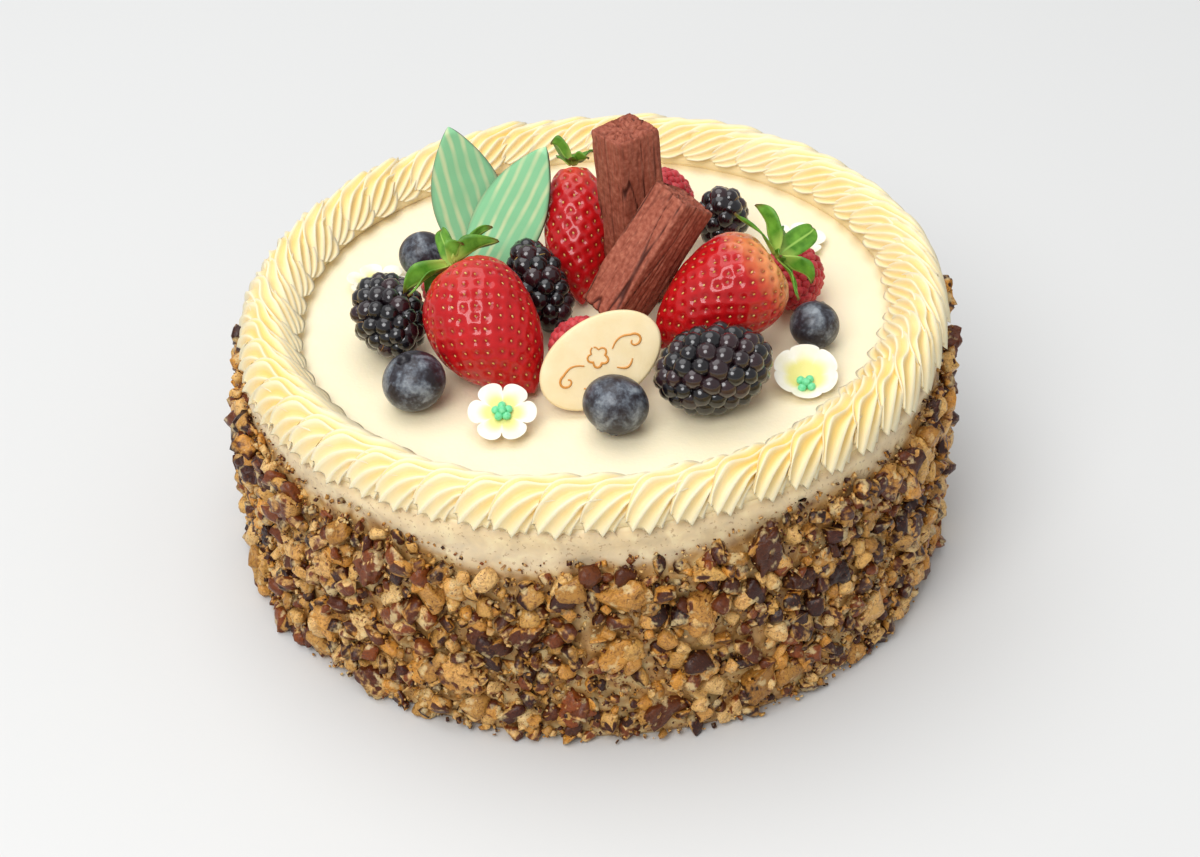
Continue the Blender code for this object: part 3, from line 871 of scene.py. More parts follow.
class Workshop:
    """Holds the Geometry Nodes trees and runs them on new objects."""

    def __init__(self) -> None:
        """Builds both trees."""
        self.trees = {NodeTreeKind.SCATTER: scatter_tree(), NodeTreeKind.FOLLOW: follow_tree()}

    def run(self, obj: Object, kind: NodeTreeKind, values: dict) -> Object:
        """Gives the object the tree, sets its inputs and turns the result into mesh.

        Args:
            obj: the object with the points or the path.
            kind: which tree.
            values: what each input gets, by its name.

        Returns:
            The same object, with plain mesh.
        """
        tree = self.trees[kind]
        modifier = obj.modifiers.new(kind.value, "NODES")
        modifier.node_group = tree
        for item in tree.interface.items_tree:
            if item.in_out == "INPUT" and item.name in values:
                modifier[item.identifier] = values[item.name]
        return baked(obj)

    def scatter(
        self, name: str, spots: list["Spot"], shapes: list[Mesh],
        material: Material, smallest: float = 1.0, largest: float = 1.0,
        spin: float = tau, lean: float = 0.0, seed: int = SEED,
        core: Mesh | None = None,
    ) -> Object:
        """Sets one of the shapes on every spot.

        Args:
            name: the piece's name.
            spots: where the pieces go.
            shapes: the meshes to pick from, in metres about their foot or middle.
            material: the finish of all.
            smallest: the least stretch of a piece on each of its axes.
            largest: the most stretch.
            spin: the most turn about its own +Z, in radians.
            lean: the most lean to either side, in radians.
            seed: the random seed.
            core: a mesh that is joined with the pieces.

        Returns:
            The object, as plain mesh.
        """
        cloud = bpy.data.meshes.new(name)
        cloud.from_pydata([tuple(spot.place * MM) for spot in spots], [], [])
        set_vectors(cloud, "facing", [spot.facing for spot in spots])
        set_vectors(cloud, "along", [spot.along for spot in spots])
        set_values(cloud, "size", [spot.size for spot in spots])
        kinds = bpy.data.collections.new(f"{name}_kinds")
        bpy.context.scene.collection.children.link(kinds)
        for index, shape in enumerate(shapes):
            kinds.objects.link(bpy.data.objects.new(f"{name}_kind_{index:02d}", shape))
        middle = new_object(f"{name}_core", core) if core else None
        piece = self.run(new_object(name, cloud), NodeTreeKind.SCATTER, {
            "Kinds": kinds, "Core": middle, "Smallest": smallest, "Largest": largest,
            "Spin": spin, "Lean": lean, "Seed": seed, "Finish": material,
        })
        for shape in list(kinds.objects):
            bpy.data.objects.remove(shape)
        bpy.data.collections.remove(kinds)
        if middle:
            bpy.data.objects.remove(middle)
        return piece

    def follow(
        self, name: str, path: "Path", section: Mesh, material: Material,
        depth: float = 0.0, lump: float = 1.0,
    ) -> Object:
        """Draws the section along the path.

        Args:
            name: the piece's name.
            path: the points and edges to follow.
            section: a closed outline in its own XY plane.
            material: the finish.
            depth: how far noise moves a point, in mm.
            lump: the size of that noise in mm.

        Returns:
            The object, as plain mesh.
        """
        line = bpy.data.meshes.new(name)
        line.from_pydata([tuple(point * MM) for point in path.points], path.edges, [])
        set_vectors(line, "outward", path.outward)
        set_values(line, "swell", path.swell)
        outline = new_object(f"{name}_section", section)
        piece = self.run(new_object(name, line), NodeTreeKind.FOLLOW, {
            "Section": outline, "Depth": depth * MM, "Lump": per_mm(lump), "Finish": material,
        })
        bpy.data.objects.remove(outline)
        return piece


@dataclass
class Spot:
    """A place for one scattered piece: its point, where its +Z and +Y look, and its size."""

    place: Vector
    facing: Vector
    size: float = 1.0
    along: Vector = field(default_factory=lambda: Vector((0.0, 0.0, 0.0)))


@dataclass
class Path:
    """A line to follow: its points, the edges between them, and each point's outward and swell."""

    points: list[Vector] = field(default_factory=list)
    edges: list[tuple[int, int]] = field(default_factory=list)
    outward: list[Vector] = field(default_factory=list)
    swell: list[float] = field(default_factory=list)

    def add_stroke(self, points: list[Vector], outward: Vector, swell: list[float]) -> None:
        """Adds one stroke.

        Args:
            points: its points in order, in mm.
            outward: which way the section's upper side looks.
            swell: the section's scale at each point.
        """
        first = len(self.points)
        self.edges += [(first + i, first + i + 1) for i in range(len(points) - 1)]
        self.points += points
        self.outward += [outward] * len(points)
        self.swell += swell


def round_section(name: str, radius: float, corners: int) -> Mesh:
    """A round section in the XY plane.

    Args:
        name: the mesh's name.
        radius: its radius in mm.
        corners: how many corners it has.

    Returns:
        The mesh, of edges alone.
    """
    mesh = bpy.data.meshes.new(name)
    turns = np.linspace(0, tau, corners, endpoint=False)
    points = [(radius * cos(turn) * MM, radius * sin(turn) * MM, 0.0) for turn in turns]
    mesh.from_pydata(points, [(i, (i + 1) % corners) for i in range(corners)], [])
    return mesh


def grain_mesh(name: str, facets: int, halves: Triple, salt: int,
               rough: float = 0.15) -> Mesh:
    """A small rounded grain with a few uneven faces.

    Args:
        name: the mesh's name.
        facets: how often an icosahedron is divided, from 1 for 20 faces or 2 for 80.
        halves: half of each of its sizes in mm.
        salt: makes its shape unlike another's.
        rough: how far its points stray, as a share.

    Returns:
        The mesh, in metres about its middle.
    """
    bm = bmesh.new()
    bmesh.ops.create_icosphere(bm, subdivisions=facets, radius=1.0)
    for vertex in bm.verts:
        grow = 1 + rough * lumps(vertex.co, 0.7, salt + 0.5)
        vertex.co = Vector(a * b * grow for a, b in zip(vertex.co, halves)) * MM
    mesh = bpy.data.meshes.new(name)
    bm.to_mesh(mesh)
    bm.free()
    mesh.shade_smooth()
    return mesh


@dataclass
class FrostedBody:
    """The cake's frosting: a smooth flat top, a soft rim and a side of spread lumps."""

    radius: float = 103.5
    rim_radius: float = 96.5
    rim_drop: float = 4.9
    rim_inset: float = 0.2
    foot_inset: float = 0.5
    rim_rings: int = 8
    segments: int = 300
    top_rings: int = 44
    wall_rings: int = 46
    top_wave: float = 0.22
    wall_lump: float = 0.9

    def profile(self) -> list[tuple[float, float]]:
        """Works out the outline that is turned, from the top's middle to the foot.

        Returns:
            Its points as (radius, height) at x = 0.
        """
        wall_top = ICING_HEIGHT - self.rim_drop
        points = [(self.rim_radius * i / self.top_rings, ICING_HEIGHT)
                  for i in range(1, self.top_rings + 1)]
        for step in range(1, self.rim_rings + 1):
            turn = pi / 2 * step / self.rim_rings
            out = (self.radius - self.rim_inset - self.rim_radius) * sin(turn)
            drop = self.rim_drop * (1 - cos(turn))
            points.append((self.rim_radius + out, ICING_HEIGHT - drop))
        for step in range(1, self.wall_rings + 1):
            height = wall_top + (2.0 - wall_top) * step / self.wall_rings
            upper = fade(wall_top - height, 0, 24)
            bulge = 0.3 * upper + 0.6 * fade(wall_top - height, 24, 67)
            points.append((self.radius - self.rim_inset * (1 - upper) + bulge, height))
        return points + [(self.radius - self.foot_inset, 0.0), (self.radius * 0.5, 0.0)]

    def point(self, radius: float, angle: float, height: float) -> Vector:
        """Places one point of the frosting, with the top's waves and the side's lumps.

        Args:
            radius: its distance from the axis in the outline.
            angle: its turn about the axis.
            height: its height in the outline.

        Returns:
            The place in mm.
        """
        x = radius * cos(angle)
        y = radius * sin(angle)
        raised = height + ICING_SLOPE * x * height / ICING_HEIGHT
        if height > ICING_HEIGHT - 0.1:
            wave = self.top_wave * lumps((x, y, 0), 34.0) + 0.07 * lumps((x, y, 3), 9.0)
            return Vector((x, y, raised + wave * fade(self.radius - radius, 8, 20)))
        side = fade(height, 0.5, 4) * (1 - fade(height, 66, 71))
        arc = angle * self.radius
        push = self.wall_lump * side * (lumps((x / 1.6, y / 1.6, height), 6.0) - 0.35)
        push += 0.25 * side * lumps((arc / 6, 0, height), 1.6)
        grow = (radius + push) / radius
        return Vector((x * grow, y * grow, raised))

    def build(self, coat: "WalnutCoat", material: Material) -> None:
        """Makes the frosting.

        Args:
            coat: the walnuts, whose dust marks the side up to their edge, over a painted shade on
                the whole side.
            material: the frosting's finish.
        """
        angles = np.linspace(0, tau, self.segments, endpoint=False)
        rings = np.array([[self.point(r, a, z) for a in angles] for r, z in self.profile()])
        mesh = lofted("frosting", rings, (0, 0, ICING_HEIGHT), (0, 0, 0))
        heights = np.array([v.co.z / MM for v in mesh.vertices])
        spans = np.array([v.co.xy.length / MM for v in mesh.vertices])
        edges = np.array([coat.band_top(atan2(v.co.y, v.co.x)) for v in mesh.vertices])
        ragged = np.array([2.5 * lumps(v.co / MM, 5.0) for v in mesh.vertices])
        # painted shade: the whole side keeps at least 0.42 of the tan for the border's shade; near
        # the walnuts' edge it rises to 1 as nut dust
        dusty = np.clip((edges - heights + ragged) / 5 + 0.9, 0.42, 1)
        set_values(mesh, "dusty", (spans > self.radius - 1.5) * dusty)
        # painted shade: the frosting under and beside the border gets 0.3 of the crease yellow
        under_rope = np.clip((spans - 82) / 6, 0, 1) * np.clip((heights - 60) / 8, 0, 1)
        set_values(mesh, "crease", under_rope * 0.3)
        set_down(mesh, Matrix(), material, "frosting", "cake")


@dataclass
class WalnutCoat:
    """Chopped walnuts pressed into the side: large pieces, chips between them, and crumbs."""

    wall_radius: float = 103.5
    reach: float = 112.2
    count: int = 138
    longest: float = 17.0
    shortest: float = 9.0
    embedded: float = 0.35
    clear: float = 0.5
    edge_share: float = 0.36
    spacing: float = 0.3
    band_front: float = 60.5
    band_back: float = 66.5
    candidates: int = 24
    rope_foot: float = -5.2
    cells: int = 8
    breaks: int = 2
    corner_reach: float = 0.84
    lobe_size: float = 3.4
    furrow_size: float = 2.6
    furrow_width: float = 0.16
    break_cut: float = 0.85
    break_skin: float = 0.35
    chip_cell: float = 5.0
    chip_rows: int = 15
    crumb_count: int = 10500

    def band_top(self, angle: float) -> float:
        """Finds the walnuts' upper edge, which is lowest at the front.

        Args:
            angle: the turn about the cake's axis.

        Returns:
            Its height.
        """
        frontness = max(0.0, -sin(angle))
        wobble = 2.0 * sin(5.0 * angle + 0.6) + 1.4 * sin(11.0 * angle)
        band = self.band_back + (self.band_front - self.band_back) * frontness
        return band + wobble + ICING_SLOPE * self.reach * cos(angle)

    def places(self, draw: random.Random) -> list[Triple]:
        """Spreads the large pieces, each as far from the others as a few tries allow.

        Args:
            draw: the random numbers.

        Returns:
            (angle, height, length) of each, the longest first.
        """
        places: list[Triple] = []
        for index in range(self.count):
            share = index / (self.count - 1)
            length = self.longest + (self.shortest - self.longest) * share**0.8
            best = None
            for _ in range(self.candidates):
                angle = draw.uniform(-pi, pi)
                edge = self.edge_share * length
                height = draw.uniform(edge, self.band_top(angle) - edge)
                room = inf
                for other_angle, other_height, other_length in places:
                    around = remainder(angle - other_angle, tau) * self.wall_radius
                    apart = hypot(around, height - other_height)
                    room = min(room, apart - self.spacing * (length + other_length))
                if best is None or room > best[0]:
                    best = (room, angle, height)
            places.append((best[1], best[2], length))
        return places

    def block(self, cells: int) -> tuple[np.ndarray, list[tuple[int, ...]], np.ndarray]:
        """A rounded unit block.

        Args:
            cells: how many faces lie along one of its edges.

        Returns:
            Its points from -1 to 1, its faces, and the signs of its eight corners in the order in
            which a cube is made.
        """
        bm = bmesh.new()
        bmesh.ops.create_cube(bm, size=2.0)
        corners = np.array([v.co for v in bm.verts])
        if cells > 1:
            bmesh.ops.subdivide_edges(bm, edges=bm.edges, cuts=cells - 1, use_grid_fill=True)
        points = np.array([v.co for v in bm.verts])
        faces = [tuple(v.index for v in face.verts) for face in bm.faces]
        bm.free()
        ball = points / np.linalg.norm(points, axis=1)[:, None]
        return 0.5 * points + 0.55 * ball, faces, corners

    def chunk(self, points: np.ndarray, signs: np.ndarray, corners: np.ndarray, salt: float,
              rough: float) -> tuple[np.ndarray, list[float]]:
        """Fits the rounded block into eight knocked corners and crags its surface.

        Args:
            points: the rounded block's points.
            signs: the corners' signs.
            corners: where the corners are, in mm.
            salt: makes its crags unlike another's.
            rough: the depth of its crags in mm.

        Returns:
            Its points in mm and how much skin each carries, from 0 to 1.
        """
        weights = np.prod(1 + points[:, None, :] * signs[None, :, :], axis=2) / 8
        placed = weights @ corners
        lean = Vector((sin(salt), cos(salt * 1.3), sin(salt * 0.7))).normalized()
        share = 0.5 + 0.5 * sin(salt * 12.9898)
        draw = random.Random(salt)
        span = np.linalg.norm(placed, axis=1).mean()
        breaks = []
        for _ in range(self.breaks):
            way = Vector(draw.uniform(-1, 1) for _ in range(3)).normalized()
            breaks.append((way, span * draw.uniform(0.4, 0.8)))
        skins = []
        for index, point in enumerate(placed):
            where = Vector(point)
            outward = where.normalized()
            lobe = lumps(where, self.lobe_size, salt)
            fold = abs(lumps(where, self.furrow_size, salt + 4))
            furrow = max(0.0, 1 - fold / self.furrow_width)
            grow = rough * (1.2 * lobe + 0.5 * lumps(where, 1.3, salt + 9) - 0.9 * furrow)
            where += outward * grow
            facing = 0.5 + 0.5 * outward.dot(lean)
            skin = 0.18 + 0.3 * facing + 1.0 * (share - 0.5) + 0.25 * lobe + 0.45 * furrow
            for way, limit in breaks:
                over = where.dot(way) - limit
                if over > 0:
                    where -= way * over * self.break_cut
                    skin -= self.break_skin
            placed[index] = where
            skins.append(skin)
        return placed, skins

    def knocks(self, draw: random.Random, least: float, most: float) -> np.ndarray:
        """How far each of a block's eight corners is knocked in or out, on each axis."""
        return np.array([[draw.uniform(least, most) for _ in range(3)] for _ in range(8)])

    def build_pieces(self, material: Material) -> None:
        """Makes the large pieces, one on each solid one and of its size.

        Args:
            material: the walnuts' finish.
        """
        draw = random.Random(SEED)
        base, faces, signs = self.block(self.cells)
        points, skins, tones, quads = [], [], [], []
        for index, (angle, height, length) in enumerate(self.places(draw)):
            halves = Vector((length / 2, length * draw.uniform(0.32, 0.42),
                             length * draw.uniform(0.28, 0.36)))
            corners = signs * self.corner_reach * np.array(halves) * self.knocks(draw, 0.6, 1.3)
            rough = 0.075 * length + 0.2
            shape, skin = self.chunk(base, signs, corners, index * 1.37, rough)
            depth = self.wall_radius + (1 - 2 * self.embedded) * halves.z
            spin = Matrix.Rotation(draw.uniform(0.0, tau), 4, "Z")
            lean = Matrix.Rotation(draw.uniform(-0.2, 0.2), 4, "X")
            facing = Matrix.Rotation(angle, 4, "Z") @ Matrix.Rotation(pi / 2, 4, "Y")
            place = Vector((depth * cos(angle), depth * sin(angle), height))
            matrix = Matrix.Translation(place) @ facing @ lean @ spin
            quads += [tuple(len(points) + corner for corner in face) for face in faces]
            points += [self.held_in(matrix @ Vector(point)) for point in shape]
            skins += skin
            tones += [(index * GOLDEN_SHARE) % 1.0] * len(shape)
        mesh = mesh_from("walnut_pieces", np.array(points), quads)
        set_values(mesh, "skin", skins)
        set_values(mesh, "tone", tones)
        set_down(mesh, Matrix(), material, "", "cake")

    def held_in(self, point: Vector) -> Vector:
        """Keeps a point above the table, below the rope border and within the walnuts' reach.

        Args:
            point: the point, in mm.

        Returns:
            The point, moved where it has to be.
        """
        shrink = min(1.0, self.reach / max(point.xy.length, 1e-6))
        under_rope = icing_height(point.x) + self.rope_foot - self.clear
        height = min(max(point.z, self.clear), under_rope)
        return Vector((point.x * shrink, point.y * shrink, height))

    def chip_shapes(self, cells: int, kinds: int, length: float) -> list[Mesh]:
        """Several chips to pick from.

        Args:
            cells: faces along an edge of each.
            kinds: how many to make.
            length: the size of each in mm.

        Returns:
            Their meshes, each with its skin.
        """
        draw = random.Random(SEED + kinds)
        base, faces, signs = self.block(cells)
        shapes = []
        for kind in range(kinds):
            halves = length * np.array((0.5, draw.uniform(0.34, 0.45), draw.uniform(0.26, 0.36)))
            corners = signs * halves * self.knocks(draw, 0.55, 1.1)
            points, skin = self.chunk(base, signs, corners, kind * 2.1 + 50, 0.08 * length)
            mesh = mesh_from(f"chip_{kind}", points, faces)
            set_values(mesh, "skin", skin)
            shapes.append(mesh)
        return shapes

    def wall_spot(self, angle: float, height: float, size: float, proud: float) -> Spot:
        """A spot on the side.

        Args:
            angle: its turn about the cake's axis.
            height: its height.
            size: its piece's size.
            proud: how far it stands out of the frosting.

        Returns:
            The spot.
        """
        out = heading(angle)
        radius = self.wall_radius + proud
        return Spot(out * radius + Vector((0, 0, height)), out, size)

    def build_small(
        self, workshop: Workshop, name: str, spots: list[Spot], shapes: list[Mesh],
        material: Material, **spread: float,
    ) -> None:
        """Scatters small pieces over the side and keeps them within their bounds.

        Args:
            workshop: runs the scatter tree.
            name: the name of all as one piece.
            spots: where they go.
            shapes: the meshes to pick from.
            material: the walnuts' finish.
            **spread: how the scatter tree varies them.
        """
        piece = workshop.scatter(name, spots, shapes, material, **spread)
        for vertex in piece.data.vertices:
            vertex.co = self.held_in(vertex.co / MM) * MM
        finish_piece(piece, "", "cake")

    def build_chips(self, workshop: Workshop, material: Material) -> None:
        """Makes the chips that fill the side between the large pieces.

        Args:
            workshop: runs the scatter tree.
            material: the walnuts' finish.
        """
        draw = random.Random(SEED + 11)
        columns = round(tau * self.wall_radius / self.chip_cell)
        spots = []
        for column in range(columns):
            for row in range(self.chip_rows):
                angle = tau * (column + draw.uniform(0.0, 1.0)) / columns
                height = 2.2 + self.chip_cell * (row + draw.uniform(-0.5, 0.5)) * 0.9
                size = draw.uniform(0.45, 1.25)
                if 1.8 < height < self.band_top(angle) + draw.uniform(-1.5, 2.5):
                    spots.append(self.wall_spot(angle, height, size, draw.uniform(0.2, 3.4)))
        self.build_small(workshop, "walnut_chips", spots, self.chip_shapes(3, 16, 7.4), material,
                         smallest=0.7, largest=1.25, lean=0.9, seed=SEED + 3)

    def build_crumbs(self, workshop: Workshop, material: Material) -> None:
        """Makes the crumbs that cling to the side and gather at its foot.

        Args:
            workshop: runs the scatter tree.
            material: the walnuts' finish.
        """
        draw = random.Random(SEED + 23)
        spots = []
        for _ in range(self.crumb_count):
            angle = draw.uniform(0, tau)
            top = self.band_top(angle) + 4.5
            height = 0.9 + (top - 0.9) * draw.random() ** 1.1
            proud = draw.uniform(0.0, 3.4) * fade(top - height, 1.5, 6)
            size = 0.35 + 1.0 * draw.random() ** 2
            spots.append(self.wall_spot(angle, height, size, proud + 0.1))
        self.build_small(workshop, "walnut_crumbs", spots, self.chip_shapes(1, 8, 1.9), material,
                         smallest=0.7, largest=1.3, lean=1.2, seed=SEED + 5)


@dataclass
class RopeBorder:
    """The piped border: fluted shells of frosting that lie over each other like a rope's strands.

    Crests holds the lines that the star nozzle's points draw on one shell, from its outer end to
    its middle. A place on a line is (radius, height above the icing, how far along the ring), in
    mm. The inner half is the outer half turned half round about the shell's middle, but the
    leading lines end as a tongue, given in tongue.
    """

    units: int = 56
    radius: float = 96.5
    kinds: int = 9
    samples: int = 33
    flute_cells: int = 5
    flute_depth: float = 0.36
    heart_height: float = 2.6
    size_spread: float = 0.054
    middle: float = 12.0
    wobble_up: float = 0.5
    wobble_along: float = 0.35
    hollow_power: float = 0.85
    foot_lift: float = 1.6
    foot_spread: float = 1.5
    shell_end_shade: float = 0.6
    core_columns: int = 224
    core_corners: int = 12
    core_inset: float = 1.3
    core_half_width: float = 7.4
    core_half_height: float = 5.2
    core_lift: float = 1.8
    rope_core_shade: float = 0.4
    crests: tuple[tuple[Triple, ...], ...] = (
        ((103.7, -1.4, 7.6), (103.3, 1.6, 8.6), (102.6, 4.6, 10.4),
         (101.6, 6.4, 13.2), (100.8, 6.8, 16.0)),
        ((104.8, -2.2, 4.2), (104.5, 1.6, 6.0), (103.9, 4.6, 7.8),
         (102.6, 7.9, 10.4), (101.2, 8.6, 14.2)),
        ((105.3, -0.3, 0.0), (104.7, 3.4, 2.1), (103.3, 7.4, 5.2),
         (101.4, 9.9, 9.2), (99.8, 10.4, 12.8)),
        ((104.4, 2.4, -1.5), (103.4, 6.4, -0.6), (101.4, 9.8, 2.0),
         (99.0, 12.1, 5.8), (98.2, 11.4, 12.0)),
        ((103.5, 3.6, -1.6), (102.6, 7.4, -0.4), (99.6, 10.9, 1.6),
         (96.9, 12.2, 5.2), (94.8, 11.4, 12.0)),
        ((102.8, 3.4, -1.4), (101.6, 6.0, 0.2), (98.0, 8.4, 3.0),
         (94.6, 9.6, 7.0), (93.2, 10.4, 11.2)),
        ((102.2, 3.0, -1.0), (100.6, 4.6, 1.0), (96.5, 6.0, 4.4),
         (93.0, 7.4, 7.4), (91.8, 8.6, 9.8)),
        ((101.5, 2.6, -0.5), (99.6, 3.2, 1.8), (95.5, 4.2, 5.0),
         (92.8, 5.4, 7.0), (92.2, 6.8, 8.0)),
    )
    tongue: tuple[tuple[Triple, ...], ...] = (
        ((96.2, 11.6, 17.6), (93.2, 9.8, 22.2), (90.4, 6.6, 25.0), (89.0, 4.0, 25.8)),
        ((92.9, 11.2, 16.2), (90.8, 8.8, 20.4), (89.2, 6.2, 23.4), (88.4, 4.2, 24.8)),
        ((91.0, 9.4, 14.4), (89.0, 7.2, 18.2), (87.8, 5.4, 21.4), (87.5, 4.2, 23.6)),
        ((89.6, 7.8, 12.6), (87.8, 6.2, 15.8), (86.8, 4.9, 19.2), (86.7, 4.0, 22.2)),
        ((89.8, 5.8, 10.4), (87.0, 4.8, 13.2), (85.4, 3.9, 16.6), (86.0, 3.4, 20.6)),
    )

    def whole_crest(self, number: int) -> list[Vector]:
        """Joins the two halves of a crest line.

        Args:
            number: which line.

        Returns:
            Its places, from the outer end to the inner end.
        """
        line = [Vector(place) for place in self.crests[number]]
        leading = number + len(self.tongue) - len(self.crests)
        if leading >= 0:
            return line + [Vector(place) for place in self.tongue[leading]]
        for radius, lift, along in reversed(self.crests[-1 - number][:-1]):
            line.append(Vector((2 * self.radius - radius, max(lift, 0.4), 2 * self.middle - along)))
        return line

    def crest_point(self, line: list[Vector], share: float) -> Vector:
        """Finds a point on a smooth curve through a crest line's places.

        Args:
            line: the places.
            share: the share of the line's length.

        Returns:
            The point.
        """
        last = len(line) - 1
        index = min(int(share * last), last - 1)
        places = [line[min(max(index + step, 0), last)] for step in (-1, 0, 1, 2)]
        before, start, end, after = places
        t = share * last - index
        slope = (end - before) * t
        curve = (2 * before - 5 * start + 4 * end - after) * t**2
        return 0.5 * (2 * start + slope + curve + (3 * start - 3 * end + after - before) * t**3)

    def level(
        self, lines: list[list[Vector]], share: float, salt: float
    ) -> tuple[list[Vector], list[float]]:
        """The shell's section at a share of its length.

        Args:
            lines: its crest lines.
            share: how far along the shell.
            salt: makes one shell unlike another.

        Returns:
            The section's points, and how deep in a flute each lies, which is painted as shade.
        """
        crests = []
        for number, line in enumerate(lines):
            crest = self.crest_point(line, share)
            crest.z += self.wobble_up * lumps((number * 2.0, share * 3.0, 0.0), 1.0, salt)
            crest.y += self.wobble_along * lumps((number * 2.0, share * 3.0, 7.0), 1.0, salt)
            crests.append(crest)
        points, depths = [], []
        for left, right in zip(crests, crests[1:]):
            halfway = (left + right) / 2
            across, rise = self.radius - halfway.x, self.heart_height - halfway.y
            inward = Vector((across, rise, 0.0)).normalized()
            depth = self.flute_depth * (right - left).length
            for cell in range(self.flute_cells):
                along = cell / self.flute_cells
                hollow = sin(pi * along) ** self.hollow_power
                points.append(left.lerp(right, along) + inward * depth * hollow)
                # painted shade: the depth in the flute, strongest at the shell's middle, tints the
                # frosting yellow
                depths.append(hollow * (0.45 + 0.55 * sin(pi * share)))
        points.append(crests[-1])
        depths.append(0.0)
        middle = sum(crests, Vector()) / len(crests)
        for side, crest in ((-1, crests[-1]), (1, crests[0])):
            foot = 0.5 * (self.radius + side * self.foot_spread + middle.x)
            points.append(Vector((foot, self.foot_lift, crest.z)))
        # painted shade: both feet get the full crease yellow
        return points, depths + [1.0, 1.0]

    def shell(self, salt: int) -> Mesh:
        """One fluted shell about a point on the ring, its +Y outwards and its -X along the ring.

        Args:
            salt: makes it unlike another.

        Returns:
            The mesh.
        """
        lines = [self.whole_crest(number) for number in range(len(self.crests))]
        # painted shade: the middles of the two end caps get part of the crease yellow
        rings, creases = [], [self.shell_end_shade]
        for sample in range(self.samples):
            points, depths = self.level(lines, sample / (self.samples - 1), salt * 3.7)
            ring = []
            for radius, lift, along in points:
                angle = (along - self.middle) / self.radius
                back = radius * cos(angle) - self.radius
                ring.append((-radius * sin(angle), back, lift))
            rings.append(ring)
            creases += depths
        creases.append(self.shell_end_shade)
        rings = np.array(rings)
        ends = [0.7 * ring[:-2].mean(axis=0) + 0.3 * ring[-2:].mean(axis=0)
                for ring in (rings[0], rings[-1])]
        mesh = lofted(f"piped_shell_{salt}", rings, *ends)
        set_values(mesh, "crease", creases)
        return mesh

    def build(self, workshop: Workshop, material: Material) -> None:
        """Sets the shells round the ring over a plain core.

        Args:
            workshop: runs the scatter tree.
            material: the piped frosting's finish.
        """
        spots = []
        for unit in range(self.units):
            draw = random.Random(SEED * 1000 + unit)
            size = 1 + self.size_spread * draw.uniform(-1, 1)
            turn = tau * (unit + draw.uniform(-0.05, 0.05)) / self.units
            out = heading(turn)
            place = out * self.radius
            place.z = icing_height(place.x)
            spots.append(Spot(place, Vector((0, 0, 1)), size, out))
        shapes = [self.shell(kind) for kind in range(self.kinds)]
        piece = workshop.scatter("rope_shells", spots, shapes, material, 0.985, 1.015, spin=0.03,
                                 lean=0.02, core=self.core())
        finish_piece(piece, "border_frosting", "piped_border")

    def core(self) -> Mesh:
        """Makes the plain ring of frosting inside the shells.

        Returns:
            The mesh.
        """
        points, faces = [], []
        for column in range(self.core_columns):
            turn = tau * column / self.core_columns
            for corner in range(self.core_corners):
                slant = tau * corner / self.core_corners
                radius = self.radius - self.core_inset + self.core_half_width * cos(slant)
                lift = self.core_lift + self.core_half_height * sin(slant)
                x = radius * cos(turn)
                points.append((x, radius * sin(turn), icing_height(x) + lift))
                here = column * self.core_corners
                after = (column + 1) % self.core_columns * self.core_corners
                beside = (corner + 1) % self.core_corners
                faces.append((here + corner, after + corner, after + beside, here + beside))
        mesh = mesh_from("rope_core", np.array(points), faces)
        # painted shade: the core, hidden under the shells, gets a steady part of the crease yellow
        set_values(mesh, "crease", [self.rope_core_shade] * len(points))
        return mesh


